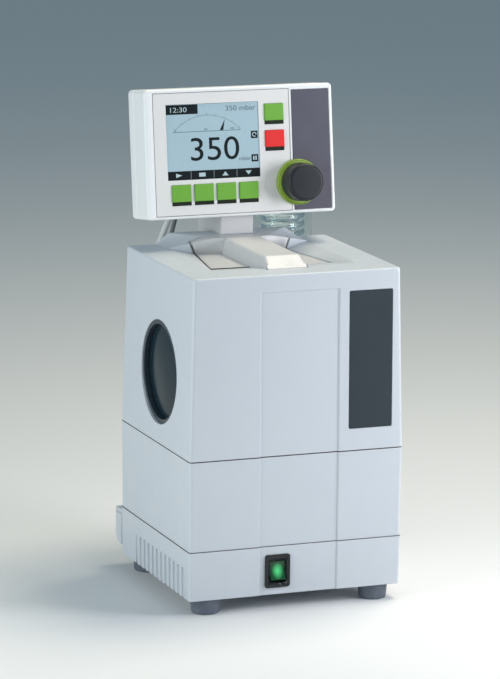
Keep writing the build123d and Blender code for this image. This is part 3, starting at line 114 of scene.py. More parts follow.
# ---- Shader groups --------------------------------------------------------------------------
class Wiring:
    """Adds nodes to one node tree and links them."""

    def __init__(self, tree: bpy.types.NodeTree) -> None:
        """Start on a tree.

        Args:
            tree: Material tree or group tree that receives the nodes.
        """
        self.tree = tree

    def node(self, kind: str, inputs: dict | None = None, **settings: object) -> bpy.types.Node:
        """Add a node, set its properties and fill or link its inputs.

        Args:
            kind: Node type without its ShaderNode prefix.
            inputs: Input name or index to a value, or to the output socket that feeds it.
            **settings: Properties of the node itself.

        Returns:
            The new node.
        """
        made = self.tree.nodes.new("ShaderNode" + kind)
        for key, value in settings.items():
            setattr(made, key, value)
        self.fill(made, inputs or {})
        return made

    def fill(self, node: bpy.types.Node, inputs: dict) -> None:
        """Fill or link a node's inputs.

        Args:
            node: The node.
            inputs: Input name or index to a value, or to the output socket that feeds it.
        """
        for key, value in inputs.items():
            if isinstance(value, bpy.types.NodeSocket):
                self.tree.links.new(value, node.inputs[key])
            else:
                node.inputs[key].default_value = value

    def place(self) -> bpy.types.NodeSocket:
        """Object coordinates."""
        return self.node("TexCoord").outputs["Object"]

    def noise(self, vector: bpy.types.NodeSocket, scale: object,
              detail: float = 3.0) -> bpy.types.NodeSocket:
        """Noise value between 0 and 1 at a scale that may be a socket."""
        made = self.node("TexNoise", {"Vector": vector, "Scale": scale, "Detail": detail})
        return made.outputs["Fac"]

    def ramp(self, value: bpy.types.NodeSocket, low: float, high: float,
             to_low: object = 0.0, to_high: object = 1.0) -> bpy.types.NodeSocket:
        """Clamped map of a value from one range to another."""
        made = self.node("MapRange", {0: value, 1: low, 2: high, 3: to_low, 4: to_high})
        return made.outputs[0]

    def mix(self, share: object, first: object, second: object) -> bpy.types.NodeSocket:
        """Colour between two colours."""
        made = self.node("Mix", {0: share, 6: first, 7: second}, data_type="RGBA")
        return made.outputs[2]

    def halo(self, middle: Point, reach: Point) -> bpy.types.NodeSocket:
        """Value that fades from 1 at a point to 0 at a distance along each axis.

        Args:
            middle: The point, in metres.
            reach: The distance along each axis, in metres.

        Returns:
            Socket of the value.
        """
        scale = tuple(1.0 / part for part in reach)
        shift = tuple(-part * factor for part, factor in zip(middle, scale))
        moved = self.node("Mapping", {"Vector": self.place(), "Location": shift, "Scale": scale}).outputs[0]
        distance = self.node("VectorMath", {0: moved}, operation="LENGTH").outputs["Value"]
        return self.ramp(distance, 0.1, 1.0, 1.0, 0.0)

    def maths(self, operation: str, first: object, second: object = 0.0) -> bpy.types.NodeSocket:
        """Result of one arithmetic node."""
        made = self.node("Math", {0: first, 1: second}, operation=operation)
        return made.outputs[0]


class Groups:
    """Shader node groups shared by the finishes, each built once."""

    def __init__(self) -> None:
        """Build every group."""
        self.skin = self._skin()
        self.dust = self._dust()
        self.turned = self._turned()

    @staticmethod
    def _open(name: str, inputs: Sequence[tuple[str, str, object]],
              outputs: Sequence[tuple[str, str]]) -> tuple[Wiring, dict, bpy.types.Node]:
        """Make an empty group with its sockets.

        Args:
            name: Name of the group.
            inputs: Name, socket type and default of each input.
            outputs: Name and socket type of each output.

        Returns:
            The wiring, the input sockets by name, and the group's output node.
        """
        tree = bpy.data.node_groups.new(name, "ShaderNodeTree")
        for label, kind, value in inputs:
            socket = tree.interface.new_socket(name=label, in_out="INPUT", socket_type=kind)
            socket.default_value = value
        for label, kind in outputs:
            tree.interface.new_socket(name=label, in_out="OUTPUT", socket_type=kind)
        source = tree.nodes.new("NodeGroupInput")
        result = tree.nodes.new("NodeGroupOutput")
        return Wiring(tree), {s.name: s for s in source.outputs if s.name}, result

    def _skin(self) -> bpy.types.NodeTree:
        """Moulded or painted skin: tone drift, spark grain and patches of handling gloss.

        Returns:
            The group.
        """
        wiring, given, result = self._open(
            "moulded_skin",
            (("Tone", "NodeSocketColor", (0.8, 0.8, 0.8, 1.0)),
             ("Deep tone", "NodeSocketColor", (0.7, 0.7, 0.7, 1.0)),
             ("Drift", "NodeSocketFloat", 9.0),
             ("Grain", "NodeSocketFloat", 2600.0),
             ("Gloss", "NodeSocketFloat", 0.35),
             ("Dull", "NodeSocketFloat", 0.5)),
            (("Colour", "NodeSocketColor"), ("Roughness", "NodeSocketFloat"), ("Height", "NodeSocketFloat")),
        )
        place = wiring.place()
        slow = wiring.ramp(wiring.noise(place, given["Drift"], 2.0), 0.3, 0.7)
        marks = wiring.ramp(wiring.noise(place, 60.0, 5.0), 0.35, 0.65)
        both = wiring.maths("ADD", slow, wiring.maths("MULTIPLY", marks, 0.35))
        share = wiring.maths("MULTIPLY", both, 0.74)
        wiring.fill(result, {
            "Colour": wiring.mix(share, given["Tone"], given["Deep tone"]),
            "Roughness": wiring.ramp(marks, 0.0, 1.0, given["Gloss"], given["Dull"]),
            "Height": wiring.noise(place, given["Grain"], 2.0),
        })
        return wiring.tree

    def _dust(self) -> bpy.types.NodeTree:
        """Dust that settles on faces that look up, and a patchy darker tone low down near the bench.

        Returns:
            The group.
        """
        wiring, given, result = self._open(
            "settled_dust",
            (("Colour", "NodeSocketColor", (0.8, 0.8, 0.8, 1.0)),
             ("Roughness", "NodeSocketFloat", 0.4),
             ("Amount", "NodeSocketFloat", 0.2)),
            (("Colour", "NodeSocketColor"), ("Roughness", "NodeSocketFloat")),
        )
        place = wiring.place()
        facing = wiring.node("SeparateXYZ", {0: wiring.node("NewGeometry").outputs["Normal"]}).outputs[2]
        level = wiring.ramp(facing, 0.2, 1.0)
        speckle = wiring.ramp(wiring.noise(place, 420.0, 4.0), 0.45, 0.75)
        # Patchy darker tone that grows towards the bottom, below 5 cm.
        height = wiring.node("SeparateXYZ", {0: place}).outputs[2]
        low = wiring.ramp(height, 0.05, 0.012, 0.0, 0.5)
        patchy = wiring.maths("MULTIPLY", low, wiring.ramp(wiring.noise(place, 90.0, 4.0), 0.3, 0.8))
        settled = wiring.maths("MULTIPLY", level, speckle)
        share = wiring.maths("MULTIPLY", wiring.maths("ADD", settled, patchy), given["Amount"])
        wiring.fill(result, {
            "Colour": wiring.mix(share, given["Colour"], DUST_TONE),
            "Roughness": wiring.maths("ADD", given["Roughness"], wiring.maths("MULTIPLY", share, 0.4)),
        })
        return wiring.tree

    def _turned(self) -> bpy.types.NodeTree:
        """Fine lines that a lathe or brush leaves round an upright axis.

        Returns:
            The group.
        """
        wiring, given, result = self._open(
            "turning_lines",
            (("Lines", "NodeSocketFloat", 900.0),
             ("Gloss", "NodeSocketFloat", 0.25),
             ("Dull", "NodeSocketFloat", 0.4)),
            (("Roughness", "NodeSocketFloat"), ("Height", "NodeSocketFloat")),
        )
        flat = wiring.node("Mapping", {"Vector": wiring.place(), "Scale": (0.04, 0.04, 1.0)}).outputs[0]
        lines = wiring.noise(flat, given["Lines"], 2.0)
        wiring.fill(result, {
            "Roughness": wiring.ramp(lines, 0.3, 0.7, given["Gloss"], given["Dull"]),
            "Height": lines,
        })
        return wiring.tree


# ---- Finishes -------------------------------------------------------------------------------
def new_material(name: str) -> tuple[bpy.types.Material, Wiring, bpy.types.Node]:
    """Start a material.

    Args:
        name: Its name.

    Returns:
        The material, the wiring of its tree, and its shader.
    """
    made = bpy.data.materials.new(name)
    made.use_nodes = True
    return made, Wiring(made.node_tree), made.node_tree.nodes["Principled BSDF"]


@dataclass(frozen=True)
class Moulding:
    """Moulded plastic, film, rubber or paint."""

    name: str
    slot: str
    tone: Colour
    deep: Colour
    gloss: float = 0.35
    dull: float = 0.5
    drift: float = 9.0
    grain: float = 2600.0
    grain_depth: float = 0.00002
    dust: float = 0.15
    coat: float = 0.0
    glow: float = 0.0
    translucency: float = 0.0
    specular: float = 0.5
    rounding: float = 0.0
    lamp: tuple[Point, Point] | None = None

    def material(self, groups: Groups) -> bpy.types.Material:
        """Build the material.

        Args:
            groups: Shared shader groups.

        Returns:
            The finished material.
        """
        made, wiring, shader = new_material(self.name)
        skin = wiring.node("Group", {
            "Tone": (*self.tone, 1.0), "Deep tone": (*self.deep, 1.0), "Drift": self.drift,
            "Grain": self.grain, "Gloss": self.gloss, "Dull": self.dull,
        }, node_tree=groups.skin).outputs
        dust = wiring.node("Group", {
            "Colour": skin["Colour"], "Roughness": skin["Roughness"], "Amount": self.dust,
        }, node_tree=groups.dust).outputs
        bump = wiring.node("Bump", {"Strength": 1.0, "Distance": self.grain_depth, "Height": skin["Height"]})
        if self.rounding:
            soft = wiring.node("Bevel", {"Radius": self.rounding}, samples=BEVEL_RAYS)
            wiring.fill(bump, {"Normal": soft.outputs[0]})
        wiring.fill(shader, {
            "Base Color": dust["Colour"], "Roughness": dust["Roughness"], "Normal": bump.outputs[0],
            "Coat Weight": self.coat, "Coat Roughness": COAT_ROUGHNESS,
            "Transmission Weight": self.translucency, "Specular IOR Level": self.specular,
        })
        if self.glow:
            lit = skin["Colour"]
            if self.lamp:
                lit = wiring.mix(wiring.halo(*self.lamp), BLACK, lit)
            wiring.fill(shader, {"Emission Color": lit, "Emission Strength": self.glow})
        return made


@dataclass(frozen=True)
class Metal:
    """Turned, cast or plated metal."""

    name: str
    slot: str
    tone: Colour
    gloss: float = 0.25
    dull: float = 0.42
    lines: float = 900.0
    line_depth: float = 0.00002
    patches: float = 40.0
    shade: float = 0.8

    def material(self, groups: Groups) -> bpy.types.Material:
        """Build the material.

        Args:
            groups: Shared shader groups.

        Returns:
            The finished material.
        """
        made, wiring, shader = new_material(self.name)
        turned = wiring.node("Group", {
            "Lines": self.lines, "Gloss": self.gloss, "Dull": self.dull,
        }, node_tree=groups.turned).outputs
        share = wiring.ramp(wiring.noise(wiring.place(), self.patches), 0.35, 0.65)
        darker = (*(self.shade * part for part in self.tone), 1.0)
        bump = wiring.node("Bump", {"Strength": 1.0, "Distance": self.line_depth, "Height": turned["Height"]})
        wiring.fill(shader, {
            "Base Color": wiring.mix(share, (*self.tone, 1.0), darker), "Roughness": turned["Roughness"],
            "Normal": bump.outputs[0], "Metallic": 1.0,
        })
        return made


@dataclass(frozen=True)
class Glass:
    """Clear glass with a faint film of fingermarks."""

    name: str
    slot: str
    tone: Colour
    roughness: float = 0.02
    index: float = 1.47
    smear: float = 0.08
    smears: float = 55.0
    patches: float = 30.0
    shade: float = 0.94

    def material(self, groups: Groups) -> bpy.types.Material:
        """Build the material.

        Args:
            groups: Shared shader groups, which glass doesn't need.

        Returns:
            The finished material.
        """
        made, wiring, shader = new_material(self.name)
        place = wiring.place()
        smear = wiring.ramp(wiring.noise(place, self.smears, 4.0), 0.45, 0.75,
                            self.roughness, self.roughness + self.smear)
        share = wiring.ramp(wiring.noise(place, self.patches), 0.3, 0.7)
        paler = (*(self.shade * part for part in self.tone), 1.0)
        wiring.fill(shader, {
            "Base Color": wiring.mix(share, (*self.tone, 1.0), paler), "Roughness": smear,
            "Transmission Weight": 1.0, "IOR": self.index,
        })
        return made


class Look(Enum):
    """Every finish on the pump."""

    CASING = Moulding("casing_grey", "casing", (0.61, 0.652, 0.703), (0.585, 0.622, 0.673), 0.34, 0.45,
                      rounding=0.8 * MM)
    COVER = Moulding("cover_cream", "cover", (0.63, 0.63, 0.64), (0.60, 0.60, 0.61), 0.36, 0.47,
                     rounding=2.0 * MM)
    SHELL = Moulding("controller_white", "controller_shell", (0.87, 0.885, 0.90), (0.84, 0.86, 0.88), 0.33,
                     0.45, rounding=0.8 * MM)
    INLAY = Moulding("inlay_film", "inlay", (0.79, 0.775, 0.77), (0.76, 0.75, 0.745), 0.45, 0.55, dust=0.05)
    STRIP = Moulding("strip_film", "side_strip", (0.105, 0.102, 0.137), (0.092, 0.09, 0.12), 0.45, 0.6,
                     dust=0.05, specular=0.3)
    SLATE = Moulding("label_slate", "label_slate", (0.031, 0.042, 0.054), (0.026, 0.036, 0.047), 0.42, 0.55,
                     dust=0.08, specular=0.3)
    SCREEN = Moulding("screen_grey", "display", (0.38, 0.51, 0.58), (0.36, 0.49, 0.56), 0.25, 0.32,
                      drift=14.0, grain=4200.0, grain_depth=0.000002, dust=0.0, glow=0.1, specular=0.3)
    INK = Moulding("screen_ink", "display", (0.008, 0.012, 0.014), (0.012, 0.018, 0.02), 0.5, 0.6, dust=0.0,
                   specular=0.1)
    FAINT_INK = Moulding("screen_print", "display", (0.10, 0.15, 0.18), (0.12, 0.17, 0.20), 0.5, 0.6,
                         dust=0.0, specular=0.1)
    PALE_INK = Moulding("screen_pale", "display", (0.50, 0.62, 0.66), (0.45, 0.58, 0.62), 0.4, 0.5,
                        dust=0.0, specular=0.2)
    # Dark line round the inlay, and painted shade on the linings of the casing's seams and of the handle's
    # gap.
    SEAM_AND_GAP_SHADE = Moulding("seam_and_gap_shade", "inlay", (0.13, 0.11, 0.11), (0.15, 0.13, 0.13), 0.5, 0.6, dust=0.0)
    KEY_GREEN = Moulding("key_green", "key_green", (0.165, 0.43, 0.045), (0.15, 0.40, 0.04), 0.42, 0.55,
                         dust=0.05, specular=0.35)
    KEY_RED = Moulding("key_red", "key_red", (0.86, 0.026, 0.026), (0.78, 0.022, 0.022), 0.42, 0.55,
                       dust=0.05, specular=0.3)
    # Near-black painted shade: the shadowed gap under each key and the groove in the lime ring.
    GAP_SHADE = Moulding("key_ledge", "side_strip", (0.014, 0.022, 0.012), (0.012, 0.018, 0.01), 0.5, 0.65,
                     dust=0.03, specular=0.2)
    KNOB = Moulding("knob_charcoal", "knob_dark", (0.022, 0.025, 0.030), (0.018, 0.021, 0.026), 0.36, 0.48,
                    dust=0.05, specular=0.3)
    LIME = Moulding("ring_lime", "ring_lime", (0.27, 0.42, 0.05), (0.24, 0.37, 0.045), 0.35, 0.48, dust=0.06)
    FOOT = Moulding("foot_rubber", "rubber_grey", (0.10, 0.125, 0.165), (0.085, 0.105, 0.14), 0.55, 0.7,
                    dust=0.4)
    RUBBER = Moulding("black_rubber", "rubber_black", (0.02, 0.02, 0.021), (0.03, 0.03, 0.03), 0.6, 0.75)
    RING = Moulding("window_ring", "ring_dark", (0.028, 0.045, 0.060), (0.024, 0.038, 0.052), 0.22, 0.32,
                    dust=0.08)
    FAN = Moulding("fan_black", "fan_plastic", (0.02, 0.02, 0.02), (0.03, 0.03, 0.03), 0.4, 0.5)
    BOARD = Moulding("circuit_board", "board", (0.02, 0.14, 0.06), (0.015, 0.10, 0.05), 0.35, 0.5)
    BEZEL = Moulding("bezel_black", "bezel_black", (0.009, 0.011, 0.014), (0.012, 0.014, 0.018), 0.2, 0.3,
                     dust=0.0, coat=0.25, specular=0.3)
    ROCKER = Moulding("rocker_green", "rocker_green", (0.010, 0.075, 0.026), (0.008, 0.060, 0.021), 0.15,
                      0.25, drift=160.0, dust=0.0, coat=0.2, specular=0.3, glow=9.0,
                      lamp=((-0.0159, -0.0845, 0.0328), (0.0052, 0.01, 0.0070)))
    SOCKET = Moulding("connector_black", "connector_black", (0.018, 0.018, 0.02), (0.024, 0.024, 0.026), 0.4,
                      0.55)
    PTFE = Moulding("white_ptfe", "fluoropolymer", (0.80, 0.80, 0.77), (0.76, 0.76, 0.73), 0.35, 0.5)
    HOSE = Moulding("milky_hose", "hose", (0.72, 0.75, 0.76), (0.67, 0.70, 0.71), 0.3, 0.42,
                    translucency=0.25)
    CABLE = Moulding("cable_sheath", "cable", (0.10, 0.11, 0.12), (0.12, 0.13, 0.14), 0.4, 0.55)
    STEEL = Metal("zinc_steel", "steel", (0.55, 0.56, 0.58))
    ALLOY = Metal("cast_alloy", "alloy", (0.60, 0.61, 0.63), 0.38, 0.55, lines=300.0, line_depth=0.00005)
    COPPER = Metal("winding_copper", "copper", (0.72, 0.38, 0.22), 0.3, 0.45)
    CLEAR = Glass("lab_glass", "glass", (0.93, 0.98, 0.98))
    SMOKED = Moulding("smoked_pane", "window", (0.006, 0.019, 0.030), (0.022, 0.038, 0.048), 0.16, 0.22,
                      drift=16.0, grain_depth=0.0, dust=0.0, specular=0.12)


class Paintshop:
    """Makes each finish's material once and hands it out."""

    def __init__(self) -> None:
        """Start with the shared groups and no materials."""
        self.groups = Groups()
        self.made: dict[Look, bpy.types.Material] = {}

    def material(self, look: Look) -> bpy.types.Material:
        """Material of a finish, built the first time it is asked for.

        Args:
            look: The finish.

        Returns:
            Its material.
        """
        if look not in self.made:
            self.made[look] = look.value.material(self.groups)
        return self.made[look]


# ---- Mesh tools -----------------------------------------------------------------------------
def turned_profile(profile: Sequence[Pair], origin: Vector, along: Vector,
                   steps: int) -> bmesh.types.BMesh:
    """Turn a closed profile about a line.

    Args:
        profile: Points as distance along the line and radius, in metres.
        origin: Point on the line from which distances count.
        along: Direction of the line.
        steps: Number of faces round the turn.

    Returns:
        The turned shape.
    """
    shape = bmesh.new()
    along = along.normalized()
    side = along.orthogonal().normalized()
    points = [shape.verts.new(origin + along * reach + side * radius) for reach, radius in profile]
    edges = [shape.edges.new((first, second)) for first, second in zip(points, points[1:] + points[:1])]
    bmesh.ops.spin(shape, geom=points + edges, cent=origin, axis=along, dvec=(0, 0, 0), angle=math.tau,
                   steps=steps, use_merge=True, use_duplicate=False)
    bmesh.ops.remove_doubles(shape, verts=shape.verts, dist=WELD)
    bmesh.ops.recalc_face_normals(shape, faces=shape.faces)
    return shape


def block(size: Sequence[float], place: Matrix, edge: float, segments: int = 3) -> bmesh.types.BMesh:
    """Box with rounded edges.

    Args:
        size: Its three sizes in metres.
        place: Where its middle goes, and how it is turned.
        edge: Radius of its edges.
        segments: Faces across each rounding.

    Returns:
        The box.
    """
    shape = bmesh.new()
    bmesh.ops.create_cube(shape, size=1.0)
    bmesh.ops.scale(shape, vec=size, verts=shape.verts)
    bmesh.ops.bevel(shape, geom=shape.edges[:], offset=edge, segments=segments, profile=0.5,
                    affect="EDGES", material=-1, clamp_overlap=True)
    bmesh.ops.transform(shape, matrix=place, verts=shape.verts)
    bmesh.ops.recalc_face_normals(shape, faces=shape.faces)
    return shape


def merged_copy(node: bpy.types.Object) -> bmesh.types.BMesh:
    """Copy a CAD node's mesh and join up its loose triangles.

    Args:
        node: The CAD node.

    Returns:
        The copy.
    """
    shape = bmesh.new()
    shape.from_mesh(node.data)
    bmesh.ops.remove_doubles(shape, verts=shape.verts, dist=2 * WELD)
    return shape


@dataclass
class Bench:
    """Where pieces are put together: the frame, the paint and the helpers that need both."""

    frame: dict
    paint: Paintshop
    widest_gap: float = 1.4 * MM
    # Thickness of the dark linings of painted shade.
    shade_thickness: float = 0.06 * MM

    def node(self, name: str) -> bpy.types.Object:
        """CAD node by name."""
        return self.frame["nodes"][name]

    def joint(self, name: str) -> dict:
        """Joint of the frame by name."""
        return next(j for j in self.frame["joints"] if j["name"] == name)

    def put(self, name: str, shape: bmesh.types.BMesh, look: Look, body: str = PUMP,
            stands_for: str | None = None, crease: float = CREASE) -> bpy.types.Object:
        """Turn a finished shape into a piece that rides on a body.

        Args:
            name: Name of the piece.
            shape: Its mesh, which is freed.
            look: Its finish.
            body: CAD body that it rides on.
            stands_for: CAD node that it replaces, if it does.
            crease: Angle in degrees above which an edge stays sharp.

        Returns:
            The new object.
        """
        mesh = bpy.data.meshes.new(name)
        shape.to_mesh(mesh)
        shape.free()
        mesh.shade_smooth()
        mesh.set_sharp_from_angle(angle=math.radians(crease))
        piece = bpy.data.objects.new(name, mesh)
        bpy.context.scene.collection.objects.link(piece)
        mesh.materials.append(self.paint.material(look))
        weighted = piece.modifiers.new("even_shading", "WEIGHTED_NORMAL")
        weighted.keep_sharp = True
        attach(piece, body)
        if stands_for:
            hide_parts(stands_for)
        return piece

    def refine(self, node: str, name: str, look: Look, body: str = PUMP,
               crease: float = CREASE) -> bpy.types.Object:
        """Show a CAD node as a merged, evenly shaded copy of itself."""
        return self.put(name, merged_copy(self.node(node)), look, body, stands_for=node, crease=crease)

    def shade_lining(self, name: str, node: str, facing: str) -> bpy.types.Object:
        """Dark lining on the walls of a narrow gap: painted shade where the gap falls into shadow.

        Args:
            name: Name of the piece.
            node: CAD node whose walls are lined.
            facing: CAD node on the other side of the gap.

        Returns:
            The new object.
        """
        shape = merged_copy(self.node(node))
        opposite = BVHTree.FromBMesh(merged_copy(self.node(facing)))
        open_faces = [
            face for face in shape.faces
            if opposite.ray_cast(face.calc_center_median(), face.normal, self.widest_gap)[0] is None
        ]
        bmesh.ops.delete(shape, geom=open_faces, context="FACES")
        bmesh.ops.solidify(shape, geom=shape.faces[:], thickness=-self.shade_thickness)
        return self.put(name, shape, Look.SEAM_AND_GAP_SHADE)

    def dress(self, look: Look, *nodes: str) -> None:
        """Give CAD nodes that stay as they are their finish.

        Args:
            look: The finish.
            *nodes: Names of the nodes.
        """
        for name in nodes:
            materials = self.node(name).data.materials
            materials.clear()
            materials.append(self.paint.material(look))


# ---- Casing ---------------------------------------------------------------------------------
@dataclass
class Casing:
    """Base tray, middle ring, upper casing, handle insert, rear box and label panel."""

    bench: Bench
    shell_crease: float = 14.0
    strip_crease: float = 30.0
    strip_width: float = 0.7 * MM
    strip_height: float = 1.2 * MM
    # Painted shade: middle lines of dark strips in the left gap round the handle insert, where the gap falls
    # into shadow.
    shade_lining: tuple[tuple[Point, ...], ...] = (
        ((-42.8, 53.6, 280.2), (-43.0, 50.4, 279.4), (-40.4, 49.2, 270.9), (-41.5, 39.8, 270.9),
         (-46.2, 14.6, 270.9), (-49.1, -2.9, 270.9), (-52.0, -20.1, 270.9), (-18.8, -20.1, 270.7)),
        ((42.8, 53.6, 280.2), (43.0, 50.4, 279.4), (40.4, 49.2, 270.9), (40.9, 45.5, 270.9)),
    )
    filler: tuple[tuple[Point, ...], ...] = (
        ((40.9, 45.5, 270.2), (41.5, 39.8, 270.2), (46.2, 14.6, 270.2), (49.1, -2.9, 270.2),
         (52.0, -20.1, 270.2), (18.8, -20.1, 270.0)),
    )

    def build(self) -> Iterable[str]:
        """Build the shells, the dark linings of painted shade in their seams, and the strips round the
        handle.

        Returns:
            Names of the pieces, each as it is done.
        """
        for node, name, look in (
            ("base_tray", "casing_base", Look.CASING),
            ("mid_ring", "casing_ring", Look.CASING),
            ("upper_casing", "casing_upper", Look.CASING),
            ("handle_insert", "carrying_handle", Look.COVER),
            ("rear_box", "connector_box", Look.CASING),
            ("label_plate", "front_label", Look.SLATE),
            ("mast", "controller_mast", Look.COVER),
            ("condenser_clip", "glass_holder", Look.COVER),
        ):
            self.bench.refine(node, name, look, crease=self.shell_crease)
            yield name
        # Painted shade: dark linings on the walls of the seams between the shells.
        for node, facing, name in (
            ("upper_casing", "mid_ring", "upper_seam_painted_shade"),
            ("mid_ring", "upper_casing", "upper_seam_shadow"),
            ("mid_ring", "base_tray", "lower_seam_painted_shade"),
            ("base_tray", "mid_ring", "lower_seam_shadow"),
        ):
            self.bench.shade_lining(name, node, facing)
            yield name
        for name, paths, look in (
            # Dark strips of painted shade in the handle's left gap, and casing-grey filler in the right one.
            ("handle_gap_shade", self.shade_lining, Look.SEAM_AND_GAP_SHADE),
            ("handle_filler", self.filler, Look.CASING),
        ):
            self.bench.put(name, self.strips(paths), look, crease=self.strip_crease)
            yield name

    def strips(self, paths: Sequence[Sequence[Point]]) -> bmesh.types.BMesh:
        """Strips that lie in the gap round the handle insert.

        Args:
            paths: Corners of each strip's middle line, in millimetres.

        Returns:
            The strips' shape.
        """
        shape = bmesh.new()
        for path in paths:
            for first, second in zip(path, path[1:]):
                start, end = Vector(first) * MM, Vector(second) * MM
                run = end - start
                place = run.to_track_quat("X", "Z").to_matrix().to_4x4()
                place.translation = (start + end) / 2
                size = (run.length + self.strip_width, self.strip_width, self.strip_height)
                bmesh.ops.create_cube(shape, size=1.0, matrix=place @ Matrix.Diagonal((*size, 1.0)))
        return shape


# ---- Feet -----------------------------------------------------------------------------------
@dataclass
class Feet:
    """Four drafted rubber feet."""

    bench: Bench
    lip: float = 1.5 * MM
    screw: float = 2.2 * MM
    draft: float = 0.9 * MM
    chamfer: float = 0.3
    faces: int = 48

    def build(self) -> Iterable[str]:
        """Turn each foot in place of its CAD solid.

        Returns:
            Names of the feet, each as it is done.
        """
        for corner in ("front_left", "front_right", "rear_left", "rear_right"):
            low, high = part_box("foot_" + corner)
            middle = (low + high) / 2
            radius = (high.x - low.x) / 2
            rise = high.z - low.z
            foot = radius - self.draft
            profile = [
                (rise, self.screw), (rise, radius), (self.lip, foot),
                (self.lip * self.chamfer, foot - self.lip * self.chamfer), (0.0, foot - self.lip),
                (0.0, self.screw),
            ]
            shape = turned_profile(profile, Vector((middle.x, middle.y, low.z)), UP, self.faces)
            self.bench.put("rubber_foot_" + corner, shape, Look.FOOT, stands_for="foot_" + corner)
            yield "rubber_foot_" + corner


# ---- Windows --------------------------------------------------------------------------------
@dataclass
class Windows:
    """Round side windows: dark rings with smoked panes."""

    bench: Bench
    pane: float = 3.0 * MM
    bulge: float = 3.2 * MM
    steps: tuple[float, ...] = (1.0, 0.8, 0.6, 0.4, 0.2, 0.0)
    faces: int = 96

    def build(self) -> Iterable[str]:
        """Refine the rings and turn the panes.

        Returns:
            Names of the pieces, each as it is done.
        """
        self.bench.refine("window_rings", "window_surrounds", Look.RING)
        yield "window_surrounds"
        self.bench.put("window_panes", self.panes(), Look.SMOKED, stands_for="sight_glasses")
        yield "window_panes"

    def panes(self) -> bmesh.types.BMesh:
        """Two panes that bulge outwards inside their rings.

        Returns:
            The panes' shape.
        """
        low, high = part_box("sight_glasses")
        radius = (high.z - low.z) / 2
        dome = [(self.bulge * (1 - share * share), radius * share) for share in self.steps]
        profile = [(-self.pane, 0.0), (-self.pane, radius), *dome]
        mesh = bpy.data.meshes.new("window_pane")
        shape = bmesh.new()
        for edge, way in ((low.x, -1.0), (high.x, 1.0)):
            centre = Vector((edge, (low.y + high.y) / 2, (low.z + high.z) / 2))
            pane = turned_profile(profile, centre, Vector((way, 0.0, 0.0)), self.faces)
            pane.to_mesh(mesh)
            pane.free()
            shape.from_mesh(mesh)
        bpy.data.meshes.remove(mesh)
        return shape


# ---- Drive ----------------------------------------------------------------------------------
@dataclass
class Drive:
    """Motor, crank, rods and pump heads, hidden inside the casing."""

    bench: Bench

    def build(self) -> Iterable[str]:
        """Refine the pump heads and dress the rest.

        Returns:
            Names of the pieces, each as it is done.
        """
        for side in ("left", "right"):
            self.bench.refine("head_cover_" + side, "pump_head_" + side, Look.ALLOY)
            yield "pump_head_" + side
        for look, nodes in (
            (Look.ALLOY, ("motor_housing", "crankcase", "connecting_rod_left", "connecting_rod_right")),
            (Look.STEEL, ("chassis_plate", "shaft_bearings", "rotor_shaft", "eccentric", "head_screws")),
            (Look.COPPER, ("stator_core",)),
            (Look.RUBBER, ("mount_bushes", "diaphragm_left", "diaphragm_right")),
            (Look.FAN, ("cooling_fan",)),
            (Look.PTFE, ("pump_tubing",)),
            (Look.BOARD, ("power_board", "controller_board")),
        ):
            self.bench.dress(look, *nodes)
        yield "drive"


# ---- Switch and connectors ------------------------------------------------------------------
@dataclass
class Fittings:
    """Rocker switch at the front and the connectors at the back."""

    bench: Bench

    def build(self) -> Iterable[str]:
        """Refine each fitting on its own body.

        Returns:
            Names of the pieces, each as it is done.
        """
        for node, name, look, body in (
            ("switch_bezel", "switch_frame", Look.BEZEL, PUMP),
            ("rocker", "switch_rocker", Look.ROCKER, "rocker"),
            ("mains_inlet", "appliance_inlet", Look.SOCKET, PUMP),
            ("fuse_drawer", "fuse_holder", Look.SOCKET, "fuse_drawer"),
            ("comm_socket", "data_socket", Look.STEEL, PUMP),
            ("hose_barbs", "hose_connectors", Look.PTFE, PUMP),
            ("exhaust_sleeve", "exhaust_tube", Look.HOSE, PUMP),
        ):
            self.bench.refine(node, name, look, body)
            yield name


# ---- Controller -----------------------------------------------------------------------------
@dataclass
class FacePlane:
    """Coordinates on the controller's leaning face: u to the right, v up, w out of it."""

    origin: Vector
    across: Vector
    rise: Vector
    out: Vector

    @classmethod
    def from_knob(cls, joint: dict, knob_u: float, knob_v: float) -> "FacePlane":
        """Find the face from the knob's turning axis.

        Args:
            joint: The knob's joint.
            knob_u: Place of the knob on the face.
            knob_v: The same, upwards.

        Returns:
            The plane of the face.
        """
        out = Vector(joint["axis"]).normalized()
        across = Vector((1.0, 0.0, 0.0))
        rise = out.cross(across)
        return cls(Vector(joint["pos_m"]) - across * knob_u - rise * knob_v, across, rise, out)

    def matrix(self, u: float = 0.0, v: float = 0.0, w: float = 0.0) -> Matrix:
        """Transform from face coordinates, centred at a place, to the scene.

        Args:
            u: Place to the right, in metres.
            v: Place upwards.
            w: Place out of the face.

        Returns:
            The transform.
        """
        place = Matrix((self.across, self.rise, self.out)).transposed().to_4x4()
        place.translation = self.origin + self.across * u + self.rise * v + self.out * w
        return place

    def top_of(self, node: bpy.types.Object) -> float:
        """Furthest that a node stands out of the face."""
        return max((point.co - self.origin).dot(self.out) for point in node.data.vertices)


